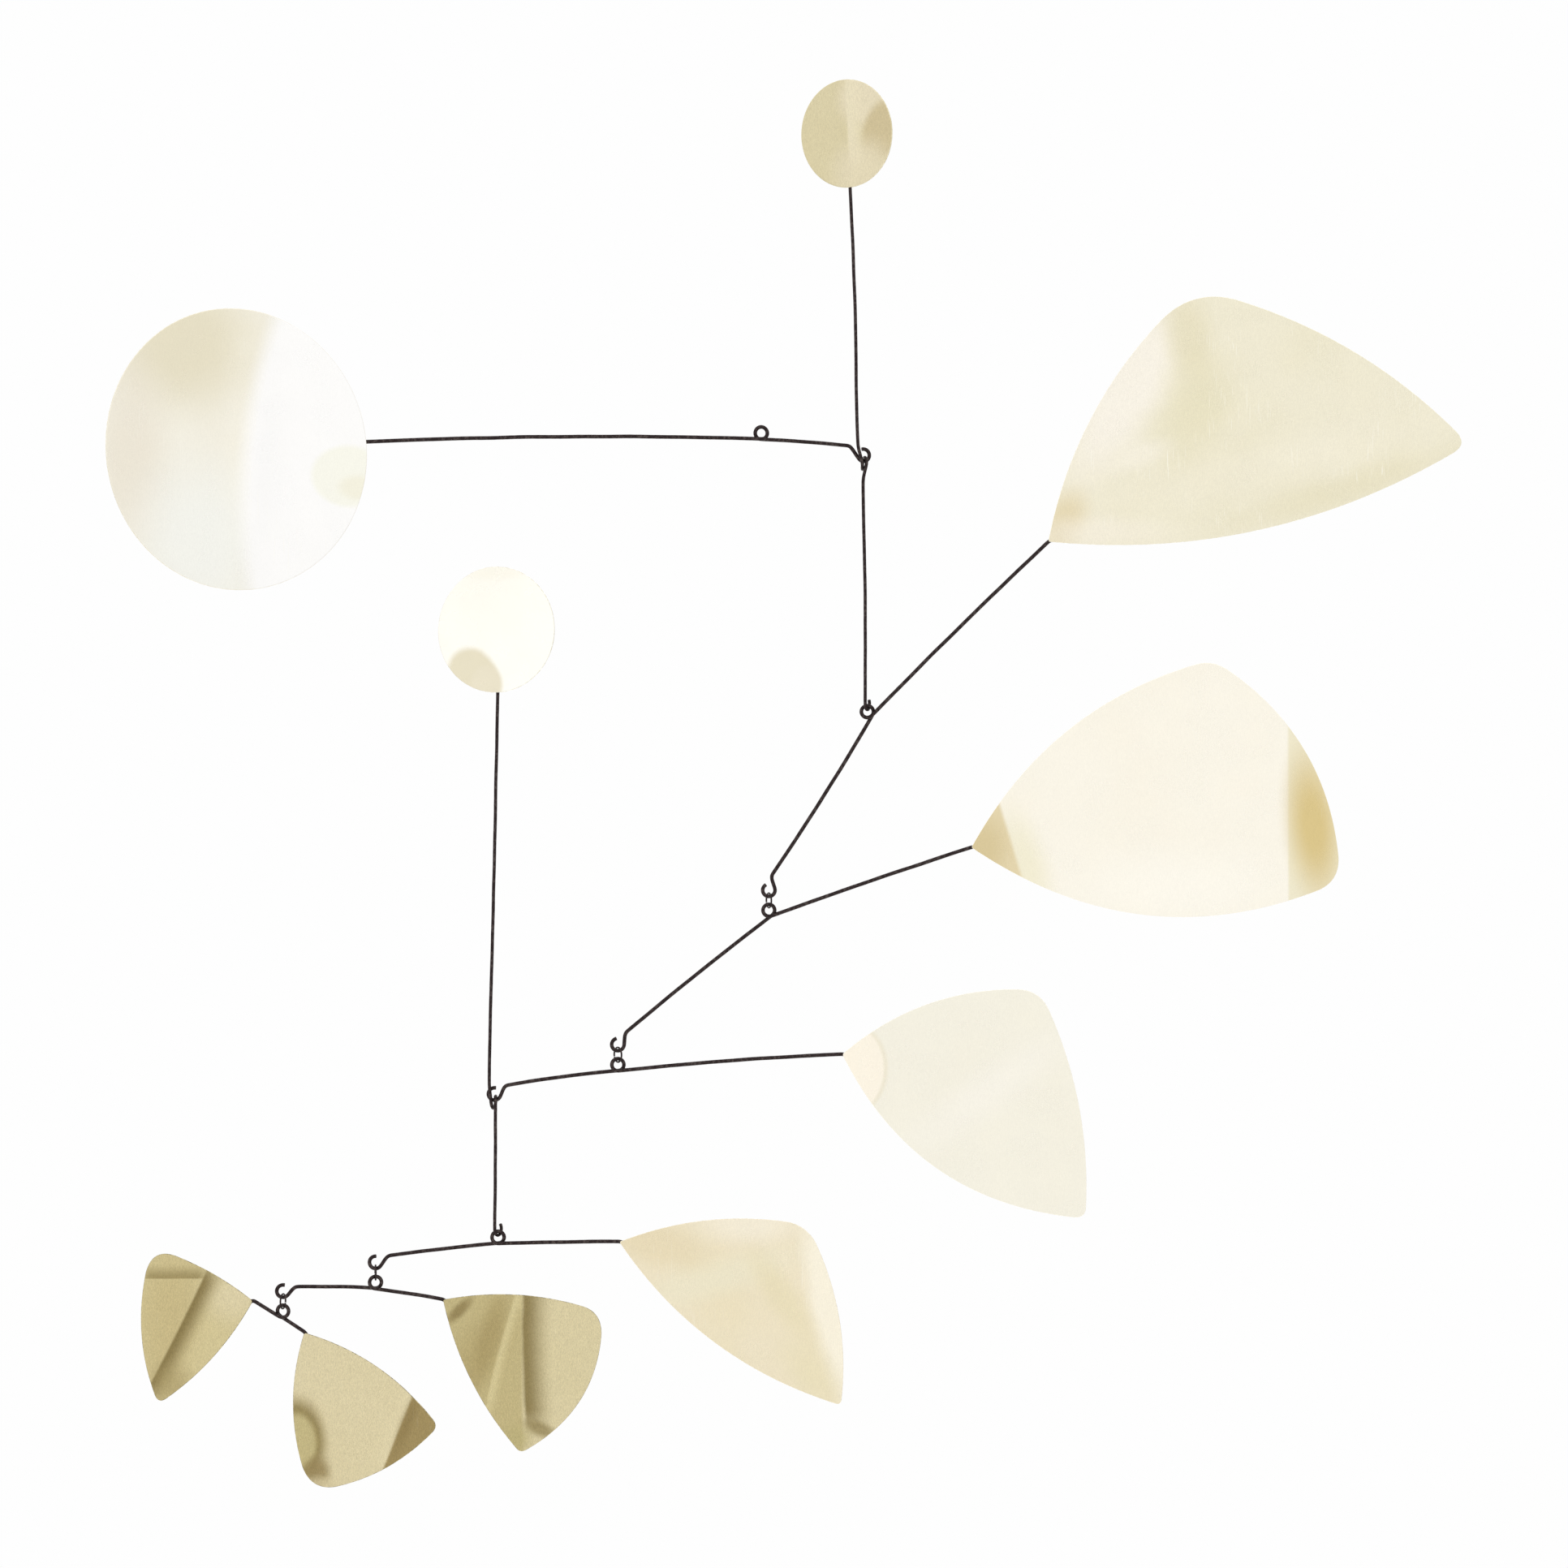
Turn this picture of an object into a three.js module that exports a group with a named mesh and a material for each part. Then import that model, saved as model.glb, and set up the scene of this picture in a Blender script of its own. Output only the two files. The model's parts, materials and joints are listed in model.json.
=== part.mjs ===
// A hanging mobile: thin brass plates on blackened steel wires, hung tier under tier by an eye on a hook.
// Millimetres, +Z up. The origin is the centre of the hanging eye, and the plates face -Y.
// Each tier is a group whose own origin is the centre of its eye, nested in the tier that it hangs from.
import * as THREE from 'three';

// Stock
const ARM_WIRE = 1.7; // diameter of the wire of the arms
const MAST_WIRE = 1.5; // diameter of the wire of the upright masts
const RING_WIRE = 0.8; // diameter of the wire of the link rings

// Bends, all to the middle of the wire
const EYE_RADIUS = 2.7;
const HOOK_RADIUS = 2.8;
const RING_RADIUS = 3.25;
const EYE_PITCH = 2; // how far an eye's one turn moves sideways, so that the wire passes itself
const NECK_BEND = 2.2; // length taken off each side of the corner above a hook

// Clearances
const HANG_GAP = 0.3; // between two wires that hang on each other
const PLATE_GAP = 0.3; // between a wire's tail and the plate in front of it
const TAIL = 12; // length of the wire behind a plate
const KNOT_GAP = 0.08; // shortest step along a wire
const CUT_SHARE = 0.6; // the largest share of a stretch of wire that rounding a corner takes

// Facets
const WIRE_SIDES = 8;
const ARC_STEP = THREE.MathUtils.degToRad(18); // of a wire's bend
const RUN_STEPS = 3; // along a bowed run
const RING_SIDES = 6;
const RING_STEPS = 16;
const DISC_STEPS = 40;
const SIDE_STEPS = 8; // along one side of a leaf
const CORNER_STEPS = 3; // round one corner of a leaf
const PLATE_RINGS = [0, 0.55, 1]; // where a plate's surface has points, from its middle to its edge

const CLOCKWISE = -1;
const ANTICLOCKWISE = 1;

const brass = (color, roughness) => ({ color, roughness, metalness: 1 });
const WIRE_FINISH = { color: 0x33292a, roughness: 0.5, metalness: 0.8 };
const PALE_BRASS = brass(0xe9dfbe, 0.32);
const DEEP_BRASS = brass(0xcbbb86, 0.3);

// Every leaf is a triangle with bowed sides. Its tips are measured from the corner that the wire holds,
// across and up. The bulges belong to the sides from that corner to the first tip, to the second tip and
// back, and the cuts are the lengths that rounding takes off the three corners. The sheet is how thick the
// plate is, and bow and twist are how far it bends out of its plane. Thinner sheet in the larger plates
// lets every arm hang nearly level with its eye.
const LEAVES = {
	leaf_1: {
		tips: [[64, 111], [184, 42]], bulges: [11, 10.5, 16], cuts: [1, 18, 7.5],
		sheet: 0.45, bow: 4, twist: -3,
	},
	leaf_2: {
		tips: [[109.5, 84], [167.5, -15.5]], bulges: [15, 16, 23], cuts: [1, 7, 10],
		sheet: 0.42, bow: -4, twist: 2,
	},
	leaf_3: {
		tips: [[87, 28.5], [107, -71.5]], bulges: [9.5, 7, 18.5], cuts: [1, 9, 4.5],
		sheet: 0.48, bow: 3, twist: 2,
	},
	leaf_4: {
		tips: [[83.5, 8.5], [98.5, -70.5]], bulges: [6, 6.5, 11], cuts: [1, 9, 2.5],
		sheet: 0.55, bow: 3, twist: -2,
	},
	leaf_5: {
		tips: [[71, -7], [34.5, -69]], bulges: [5, 11.5, 5], cuts: [1, 8.5, 2.5],
		sheet: 0.58, bow: -2.5, twist: 1.5,
	},
	leaf_6: {
		tips: [[61, -40], [3, -70]], bulges: [6, 6, 6.5], cuts: [1, 3.5, 11],
		sheet: 0.6, bow: 2, twist: -1.5,
	},
	leaf_7: {
		tips: [[-45.5, 23], [-44, -47]], bulges: [2.5, 6.5, 4], cuts: [1, 10.5, 4.5],
		sheet: 0.6, bow: -2, twist: 1.5,
	},
};

// Discs: the centre is measured from the point of the edge that the wire holds, across and up.
const DISCS = {
	large_disc: { radius: 58.8, centre: [-58.6, -5.6], sheet: 0.5, bow: 2.5 },
	upper_small_disc: { radius: 23.7, centre: [0.3, 23.4], sheet: 0.6, bow: 1 },
	lower_small_disc: { radius: 27.9, centre: [-0.5, 27.6], sheet: 0.6, bow: 1 },
};

// The tiers from the top down, each in its own frame.
//   turn      the turn of that frame about the vertical, in degrees
//   wind      which way round the wire goes in the eye, seen from the front of the tier
//   upright   a mast, which is bent in a plane across the arms: its own front looks along them
//   held      where the wire meets each plate, at: across, to the back, up. face turns that plate about
//             the vertical and nods its top to the front, in degrees, from its tier or, on a mast, from
//             the front of the mobile
//   bows      how far each run rises over its chord: from the first plate to the eye, and from there on
//   link      the ring on the hook, and the turn of its plane about the vertical
//   hang      the centre of the next tier's eye: across, to the back, up
//   neck      the corner above the hook, measured from the hook's centre
//   tip       the angle round the hook at which the wire ends
//   hookTurn  the turn of the hook about the vertical, in degrees
const TIERS = [
	{
		name: 'top_arm_wire', wire: ARM_WIRE, turn: 21, wind: ANTICLOCKWISE,
		held: [{ plate: 'large_disc', at: [-180, 0, -9], face: [8, 0] }], bows: [1.6, 0.3],
		hang: [48.5, 0, -12.1], neck: [-6.4, 4], tip: 108,
	},
	{
		name: 'upper_mast_wire', wire: MAST_WIRE, turn: 98, wind: ANTICLOCKWISE, upright: true,
		held: [{ plate: 'upper_small_disc', at: [-1.6, 6.3, 122.2], face: [-33, 4] }], bows: [0.8, 0.4],
		hang: [0, -1.7, -110.1], neck: [-HOOK_RADIUS, 5], tip: 35, hookTurn: -29,
	},
	{
		name: 'arm_1_wire', wire: ARM_WIRE, turn: -4, wind: CLOCKWISE,
		held: [{ plate: 'leaf_1', at: [80.1, 0, 75] }], bows: [0.6, -0.8],
		link: { name: 'link_1', turn: 110 }, hang: [-43.8, 0, -88.2], neck: [0.9, 6.1], tip: 116,
	},
	{
		name: 'arm_2_wire', wire: ARM_WIRE, turn: 5, wind: CLOCKWISE,
		held: [{ plate: 'leaf_2', at: [90.4, 0, 27.8] }], bows: [0.4, 0.5],
		link: { name: 'link_2', turn: 122 }, hang: [-67.1, 0, -68.2], neck: [3.1, 5], tip: 101,
	},
	{
		name: 'arm_3_wire', wire: ARM_WIRE, turn: -3, wind: CLOCKWISE,
		held: [{ plate: 'leaf_3', at: [99.5, 0, 5] }], bows: [0.8, 0.6],
		hang: [-54.9, 0, -16.8], neck: [4.5, 3.7], tip: 76,
	},
	{
		name: 'lower_mast_wire', wire: MAST_WIRE, turn: 82, wind: ANTICLOCKWISE, upright: true,
		held: [{ plate: 'lower_small_disc', at: [-1.6, -1.8, 181.8], face: [-19, -2] }], bows: [1.2, 0.5],
		hang: [0, -1.6, -59.9], neck: [-HOOK_RADIUS, 5], tip: 45, hookTurn: -20,
	},
	{
		name: 'arm_4_wire', wire: ARM_WIRE, turn: -6, wind: CLOCKWISE,
		held: [{ plate: 'leaf_4', at: [54.5, 0, -1.3] }], bows: [0.2, 0.3],
		link: { name: 'link_3', turn: 98 }, hang: [-55.2, 0, -20.7], neck: [5.4, 3], tip: 83,
	},
	{
		name: 'arm_5_wire', wire: ARM_WIRE, turn: 6, wind: CLOCKWISE,
		held: [{ plate: 'leaf_5', at: [29.9, 0, -7.9] }], bows: [0.2, 0.4],
		link: { name: 'link_4', turn: 76 }, hang: [-40.9, 0, -12.3], neck: [5.1, 1.9], tip: 72,
	},
	{
		name: 'bottom_arm_wire', wire: ARM_WIRE, turn: -7, wind: ANTICLOCKWISE,
		held: [{ plate: 'leaf_7', at: [-13.3, 0, 4.5] }, { plate: 'leaf_6', at: [10, 0, -9.2] }],
		bows: [0, 0],
	},
];

const DEEP_PLATES = ['leaf_5', 'leaf_6', 'leaf_7'];

const UP = new THREE.Vector3(0, 0, 1);
const FORWARDS = new THREE.Vector3(0, -1, 0);
const rad = THREE.MathUtils.degToRad;

/** A curve through knots that are used as they stand: many in a tight bend, few along a run. */
class KnottedCurve extends THREE.Curve {
	constructor(knots) {
		super();
		this.knots = knots;
		this.spans = knots.length - 1;
	}

	getUtoTmapping(u) {
		return u;
	}

	getPoint(t, target = new THREE.Vector3()) {
		return target.copy(this.knots[Math.round(t * this.spans)]);
	}

	getTangent(t, target = new THREE.Vector3()) {
		const index = Math.round(t * this.spans);
		const here = this.knots[index];
		const from = this.knots[Math.max(index - 1, 0)];
		const to = this.knots[Math.min(index + 1, this.spans)];
		const arriving = index > 0 ? here.clone().sub(from).normalize() : new THREE.Vector3();
		const leaving = index < this.spans ? to.clone().sub(here).normalize() : new THREE.Vector3();
		return target.addVectors(arriving, leaving).normalize();
	}
}

/** Points of a turn in the XZ plane about a centre. The depth goes evenly from one end to the other. */
function turnPoints(centre, radius, from, to, depthFrom, depthTo) {
	const steps = Math.max(2, Math.ceil(Math.abs(to - from) / ARC_STEP));
	return Array.from({ length: steps + 1 }, (_, i) => {
		const angle = THREE.MathUtils.lerp(from, to, i / steps);
		return new THREE.Vector3(
			centre.x + radius * Math.cos(angle),
			THREE.MathUtils.lerp(depthFrom, depthTo, i / steps),
			centre.z + radius * Math.sin(angle),
		);
	});
}

/** Points of a run between two ends, bowed upwards, or to the left where it is upright. */
function runPoints(from, to, bow) {
	const along = to.clone().sub(from);
	const across = new THREE.Vector3(-along.z, 0, along.x).normalize();
	if (across.z < 0) across.negate();
	const middle = from.clone().lerp(to, 0.5).addScaledVector(across, 2 * bow);
	return new THREE.QuadraticBezierCurve3(from, middle, to).getPoints(bow === 0 ? 1 : RUN_STEPS);
}

/** The direction of a straight wire from a point on to a circle that it then follows. */
function headingOnto(circle, radius, point, wind) {
	const [x, z] = [circle.x - point.x, circle.z - point.z];
	return Math.atan2(z, x) - wind * Math.asin(radius / Math.hypot(x, z));
}

/** The direction of a straight wire that leaves a circle for a point. */
function headingOff(circle, radius, point, wind) {
	const [x, z] = [point.x - circle.x, point.z - circle.z];
	return Math.atan2(z, x) + wind * Math.asin(radius / Math.hypot(x, z));
}

/** The angle round a circle at which a wire that follows it has a heading. */
const placeOnCircle = (heading, wind) => heading - wind * Math.PI / 2;

/** The points of an eye: one whole turn, more or less the angle between the wire's two runs. */
function eyePoints(radius, arriving, leaving, wind, pitch) {
	const bend = Math.atan2(Math.sin(leaving - arriving), Math.cos(leaving - arriving));
	const from = placeOnCircle(arriving, wind);
	const to = from + wind * 2 * Math.PI + bend;
	return turnPoints(new THREE.Vector3(), radius, from, to, -pitch / 2, pitch / 2);
}

/** How far the centre of a hook stands over the centre of the eye that hangs from it. */
function hookRise(wire, hungWire, linked) {
	const rise = EYE_RADIUS + HOOK_RADIUS - (wire + hungWire) / 2 - HANG_GAP;
	return linked ? rise + 2 * RING_RADIUS - RING_WIRE - HANG_GAP : rise;
}

/** The points of a hook, from the corner of its neck to its tip. */
function hookPoints(centre, neck, wind, tip, hookTurn) {
	const corner = new THREE.Vector3(centre.x + neck[0], centre.y, centre.z + neck[1]);
	const from = placeOnCircle(headingOnto(centre, HOOK_RADIUS, corner, wind), wind);
	const left = wind * (rad(tip) - from);
	const sweep = THREE.MathUtils.euclideanModulo(left, 2 * Math.PI);
	const round = turnPoints(centre, HOOK_RADIUS, from, from + wind * sweep, centre.y, centre.y);
	return [corner, ...round].map((p) => p.sub(centre).applyAxisAngle(UP, rad(hookTurn)).add(centre));
}

/** Rounds the corner between two straight stretches, and returns the points from one to the other. */
function roundedCorner(before, corner, after) {
	const cut = (towards) => Math.min(NECK_BEND, towards.distanceTo(corner) * CUT_SHARE);
	const start = corner.clone().lerp(before, cut(before) / before.distanceTo(corner));
	const end = corner.clone().lerp(after, cut(after) / after.distanceTo(corner));
	return new THREE.QuadraticBezierCurve3(start, corner, end).getPoints(CORNER_STEPS);
}

/** A closed round wire that follows the points. */
function wireGeometry(points, diameter) {
	const knots = points.filter((p, i) => i === 0 || p.distanceTo(points[i - 1]) > KNOT_GAP);
	const section = new THREE.Shape(
		Array.from({ length: WIRE_SIDES }, (_, i) => {
			const angle = (i / WIRE_SIDES) * 2 * Math.PI;
			return new THREE.Vector2(Math.cos(angle), Math.sin(angle)).multiplyScalar(diameter / 2);
		}),
	);
	return new THREE.ExtrudeGeometry(section, {
		steps: knots.length - 1,
		extrudePath: new KnottedCurve(knots),
		bevelEnabled: false,
	});
}

/** The outline of a leaf: three sides as single curves, and three corners rounded between them. */
function leafOutline({ tips, bulges, cuts }) {
	const corners = [[0, 0], ...tips].map(([x, z]) => new THREE.Vector2(x, z));
	const side = Math.sign(corners[1].clone().cross(corners[2]));
	const sides = corners.map((from, i) => {
		const to = corners[(i + 1) % 3];
		const along = to.clone().sub(from).normalize();
		const outwards = new THREE.Vector2(along.y, -along.x).multiplyScalar(side);
		const middle = from.clone().lerp(to, 0.5).addScaledVector(outwards, 2 * bulges[i]);
		return { curve: new THREE.QuadraticBezierCurve(from, middle, to), length: to.distanceTo(from) };
	});
	return sides.flatMap(({ curve, length }, i) => {
		const next = sides[(i + 1) % 3];
		const cut = cuts[(i + 1) % 3];
		const start = cuts[i] / length;
		const end = 1 - cut / length;
		const along = Array.from({ length: SIDE_STEPS + 1 }, (_, k) =>
			curve.getPoint(THREE.MathUtils.lerp(start, end, k / SIDE_STEPS)));
		const rounding = new THREE.QuadraticBezierCurve(
			curve.getPoint(end), corners[(i + 1) % 3], next.curve.getPoint(cut / next.length));
		return [...along, ...rounding.getPoints(CORNER_STEPS).slice(1, -1)];
	});
}

/** The outline of a disc. */
function discOutline({ radius, centre }) {
	return Array.from({ length: DISC_STEPS }, (_, i) => {
		const angle = (i / DISC_STEPS) * 2 * Math.PI;
		return new THREE.Vector2(centre[0] + radius * Math.cos(angle), centre[1] + radius * Math.sin(angle));
	});
}

/**
 * A plate in the XZ plane with an outline. It starts as a lathed disc of radius one, whose points are then
 * carried out to the outline and bent: bow curls the far end forwards, and twist turns one side against the
 * other.
 */
function plateGeometry(outline, sheet, bow, twist = 0) {
	const front = PLATE_RINGS.map((r) => new THREE.Vector2(r, -sheet / 2));
	const back = PLATE_RINGS.map((r) => new THREE.Vector2(r, sheet / 2)).reverse();
	const profile = [...front, ...back];
	const geometry = new THREE.LatheGeometry(profile, outline.length);
	const middle = outline.reduce((sum, p) => sum.add(p), new THREE.Vector2()).divideScalar(outline.length);
	const reach = Math.max(...outline.map((p) => p.length()));
	const along = middle.clone().normalize();
	const winding = Math.sign(outline[0].clone().sub(middle).cross(outline[1].clone().sub(middle)));
	const position = geometry.attributes.position;
	for (let i = 0; i < position.count; i++) {
		const turn = Math.floor(i / profile.length) % outline.length;
		const rim = outline[winding > 0 ? (outline.length - turn) % outline.length : turn];
		const place = middle.clone().lerp(rim, profile[i % profile.length].x);
		const outwards = place.dot(along) / reach;
		const sideways = place.cross(along) / reach;
		const bend = -bow * outwards ** 2 - twist * outwards * sideways * 2;
		position.setXYZ(i, place.x, position.getY(i) + bend, place.y);
	}
	geometry.computeVertexNormals();
	return geometry;
}

/** A named mesh with its own material. */
function piece(name, geometry, finish) {
	const mesh = new THREE.Mesh(geometry, new THREE.MeshStandardMaterial(finish));
	mesh.name = name;
	return mesh;
}

/** Makes a plate where the wire holds it, and returns it with the direction of the wire's tail. */
function placePlate({ plate, at, face = [0, 0] }, tier) {
	const disc = DISCS[plate];
	const leaf = LEAVES[plate];
	const { sheet, bow, twist } = disc ?? leaf;
	const geometry = plateGeometry(disc ? discOutline(disc) : leafOutline(leaf), sheet, bow, twist);
	const mesh = piece(plate, geometry, DEEP_PLATES.includes(plate) ? DEEP_BRASS : PALE_BRASS);
	// an upright mast is bent in the plane across the arms, so its plate is turned back to face the front
	const turn = rad(tier.upright ? face[0] - tier.turn : face[0]);
	mesh.rotation.set(rad(face[1]), 0, turn, 'ZYX');
	const forwards = FORWARDS.clone().applyEuler(mesh.rotation);
	mesh.position.set(...at).addScaledVector(forwards, tier.wire / 2 + PLATE_GAP + sheet / 2);
	const [x, z] = disc ? disc.centre : [0, 1].map((i) => (leaf.tips[0][i] + leaf.tips[1][i]) / 3);
	const inwards = new THREE.Vector3(x, 0, z).normalize().applyEuler(mesh.rotation);
	return { mesh, inwards };
}

/** The tail of a wire behind its plate and the point where it comes out from it, ending at that point. */
function tailPoints(at, inwards) {
	const edge = new THREE.Vector3(...at);
	return [edge.clone().addScaledVector(inwards, TAIL), edge];
}

/** The ring on the hook of a tier, whose centre is given, with the next tier's eye in its other end. */
function linkOn(tier, centre) {
	const geometry = new THREE.TorusGeometry(RING_RADIUS, RING_WIRE / 2, RING_SIDES, RING_STEPS);
	const ring = piece(tier.link.name, geometry, WIRE_FINISH);
	const top = centre.z - HOOK_RADIUS + (tier.wire + RING_WIRE) / 2 + HANG_GAP;
	ring.rotation.set(Math.PI / 2, 0, rad(tier.link.turn - tier.turn), 'ZYX');
	ring.position.set(centre.x, centre.y, top - RING_RADIUS);
	return ring;
}

/** The points of a tier's wire: from its first plate, round its eye and on to its hook or second plate. */
function wirePoints(tier, tails, hookCentre) {
	const eye = new THREE.Vector3();
	const pitch = tier.upright ? -EYE_PITCH : EYE_PITCH;
	const hookWind = tier.upright ? ANTICLOCKWISE : tier.wind;
	const [end, held] = tails[0];
	const ending = hookCentre
		? hookPoints(hookCentre, tier.neck, hookWind, tier.tip, tier.hookTurn ?? 0)
		: tails[1].toReversed();
	const arriving = headingOnto(eye, EYE_RADIUS, held, tier.wind);
	const leaving = headingOff(eye, EYE_RADIUS, ending[0], tier.wind);
	const loop = eyePoints(EYE_RADIUS, arriving, leaving, tier.wind, pitch);
	const inner = runPoints(held, loop[0], tier.bows[0]);
	const outer = runPoints(loop.at(-1), ending[0], tier.bows[1]);
	const corner = hookCentre ? roundedCorner(outer.at(-2), ending[0], ending[1]) : [ending[0]];
	return [end, ...inner, ...loop.slice(1), ...outer.slice(1, -1), ...corner, ...ending.slice(1)];
}

/** Builds one tier: its plates, its wire and the ring on its hook. */
function buildTier(tier, next) {
	const group = new THREE.Group();
	const plates = tier.held.map((held) => placePlate(held, tier));
	const tails = plates.map(({ inwards }, i) => tailPoints(tier.held[i].at, inwards));
	const hookCentre = tier.hang && new THREE.Vector3(...tier.hang);
	if (hookCentre) hookCentre.z += hookRise(tier.wire, next.wire, Boolean(tier.link));
	const wire = wireGeometry(wirePoints(tier, tails, hookCentre), tier.wire);
	group.add(piece(tier.name, wire, WIRE_FINISH), ...plates.map(({ mesh }) => mesh));
	if (tier.link) group.add(linkOn(tier, hookCentre));
	return group;
}

const mobile = new THREE.Group();
let holder = mobile;
let turned = 0;
let hung = [0, 0, 0];
TIERS.forEach((tier, index) => {
	const group = buildTier(tier, TIERS[index + 1]);
	group.position.set(...hung);
	group.rotation.z = rad(tier.turn - turned);
	holder.add(group);
	holder = group;
	turned = tier.turn;
	hung = tier.hang;
});

export default mobile;
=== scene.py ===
"""Looks of a hanging mobile: thin brass plates on blackened steel wires, hung tier under tier.

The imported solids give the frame: what moves, what hangs from what, and where every eye is. Each solid is
stood for here by a finer piece of the same shape, so that the wires are round and slightly uneven, the sheet
has bevelled rims and soft waves, the rings are split, and solder joins each wire to its plate. Sizes are in
millimetres, and every tier is made in its own frame, whose origin is the centre of its eye, before it is
turned and put in its place.
"""

from __future__ import annotations

import json
import logging
import math
from abc import ABC, abstractmethod
from collections.abc import Callable, Iterable
from dataclasses import dataclass
from enum import Enum

import bmesh
import bpy
from mathutils import Matrix, Vector, noise

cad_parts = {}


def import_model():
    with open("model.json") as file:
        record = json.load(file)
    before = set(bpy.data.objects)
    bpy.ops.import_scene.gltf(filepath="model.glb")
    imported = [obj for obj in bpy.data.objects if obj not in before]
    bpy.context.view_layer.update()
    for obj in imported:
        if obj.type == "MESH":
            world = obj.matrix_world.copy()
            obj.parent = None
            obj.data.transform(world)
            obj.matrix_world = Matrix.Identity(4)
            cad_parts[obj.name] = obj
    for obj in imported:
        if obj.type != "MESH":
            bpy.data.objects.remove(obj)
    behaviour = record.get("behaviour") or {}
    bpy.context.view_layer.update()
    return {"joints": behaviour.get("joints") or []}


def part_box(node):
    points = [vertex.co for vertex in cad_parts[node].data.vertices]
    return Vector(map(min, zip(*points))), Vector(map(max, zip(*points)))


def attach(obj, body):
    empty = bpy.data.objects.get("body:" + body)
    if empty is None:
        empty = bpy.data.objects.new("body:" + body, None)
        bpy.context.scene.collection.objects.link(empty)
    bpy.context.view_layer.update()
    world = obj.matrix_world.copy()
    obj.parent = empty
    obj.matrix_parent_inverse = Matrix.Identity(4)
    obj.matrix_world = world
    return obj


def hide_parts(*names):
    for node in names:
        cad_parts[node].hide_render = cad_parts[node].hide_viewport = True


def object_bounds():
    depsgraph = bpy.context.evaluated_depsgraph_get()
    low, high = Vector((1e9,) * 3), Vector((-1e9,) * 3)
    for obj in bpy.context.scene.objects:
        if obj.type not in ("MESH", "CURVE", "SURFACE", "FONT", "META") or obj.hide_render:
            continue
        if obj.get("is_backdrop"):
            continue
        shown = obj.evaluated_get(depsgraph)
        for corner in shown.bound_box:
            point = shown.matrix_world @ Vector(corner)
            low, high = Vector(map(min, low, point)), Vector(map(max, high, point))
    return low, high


LOG = logging.getLogger("mobile")
MM = 0.001
ARC_STEP = math.radians(6)
RUN_STEP = 2.0
EASE = 7.0
FLAT = 0.97
SQUARE_EDGE = math.radians(50)
BEVEL_SHARE = 0.3
CORNER_STEPS = 10
HAND_SWAY = 0.16
SWAY_LENGTH = 16.0
BLUNT_SHARE = 0.056
BLUNT_RADIUS = 0.8
SWELL = 0.035
SWELL_LENGTH = 2.6
SOLDER_LUMPS = 0.22
FORWARDS = Vector((0.0, -1.0, 0.0))


class Winding(Enum):
    """Which way round a wire goes in a bend, seen from the front of its tier."""

    CLOCKWISE = -1
    ANTICLOCKWISE = 1


class Slot(Enum):
    """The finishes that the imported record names."""

    PALE_BRASS = "pale_brass"
    DEEP_BRASS = "deep_brass"
    WIRE = "blackened_wire"


class Mark(Enum):
    """The shapes of the painted reflections and painted shade that lie on a plate."""

    SPOT = "spot"
    WEDGE = "wedge"
    FOLD = "fold"


# ---------------------------------------------------------------------------------------------- small helpers


def lerp(start: float, end: float, share: float) -> float:
    """Return the number a share of the way from start to end."""
    return start + (end - start) * share


def linear(tone: int) -> tuple[float, float, float, float]:
    """Turn a tone written as 0xRRGGBB into the linear colour that a shader takes.

    Args:
        tone: The tone as it is seen, eight bits to a channel.

    Returns:
        Red, green, blue and a full alpha.
    """
    channels = [(tone >> shift & 0xFF) / 255 for shift in (16, 8, 0)]
    light = [c / 12.92 if c <= 0.04045 else ((c + 0.055) / 1.055) ** 2.4 for c in channels]
    return (*light, 1.0)


def placed(turn: float, origin: Vector, nod: float = 0.0) -> Matrix:
    """Return the matrix that nods about X, turns about Z and then moves to an origin.

    Args:
        turn: Degrees about the vertical, anticlockwise from above.
        origin: Where the piece's own origin goes.
        nod: Degrees about X, which bring the top to the front.

    Returns:
        The matrix.
    """
    turned = Matrix.Rotation(math.radians(turn), 4, "Z") @ Matrix.Rotation(math.radians(nod), 4, "X")
    return Matrix.Translation(origin) @ turned


def finished(shape: bmesh.types.BMesh, name: str, materials: Iterable[bpy.types.Material],
             sharp_over: float) -> bpy.types.Object:
    """Turn a shape in millimetres into an object in metres, smooth but for its sharp edges.

    Args:
        shape: The shape, in its final place. It is freed.
        name: The object's name.
        materials: Its materials, in the order of the faces' material numbers.
        sharp_over: The angle between two faces, in degrees, over which their edge stays sharp.

    Returns:
        The linked object.
    """
    bmesh.ops.scale(shape, vec=(MM, MM, MM), verts=shape.verts[:])
    bmesh.ops.recalc_face_normals(shape, faces=shape.faces[:])
    for face in shape.faces:
        face.smooth = True
    for edge in shape.edges:
        edge.smooth = edge.calc_face_angle(0.0) < math.radians(sharp_over)
    mesh = bpy.data.meshes.new(name)
    shape.to_mesh(mesh)
    shape.free()
    for material in materials:
        mesh.materials.append(material)
    made = bpy.data.objects.new(name, mesh)
    bpy.context.scene.collection.objects.link(made)
    return made


def fitted(piece: bpy.types.Object, body: str, slot: Slot, *nodes: str) -> bpy.types.Object:
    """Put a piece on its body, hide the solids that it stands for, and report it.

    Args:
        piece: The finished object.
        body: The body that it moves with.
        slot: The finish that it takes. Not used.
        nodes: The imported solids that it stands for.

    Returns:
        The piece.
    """
    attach(piece, body)
    if nodes:
        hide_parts(*nodes)
    LOG.info("%s on %s: %d faces", piece.name, body, len(piece.data.polygons))
    return piece


# --------------------------------------------------------------------------------------------------- finishes


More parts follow.
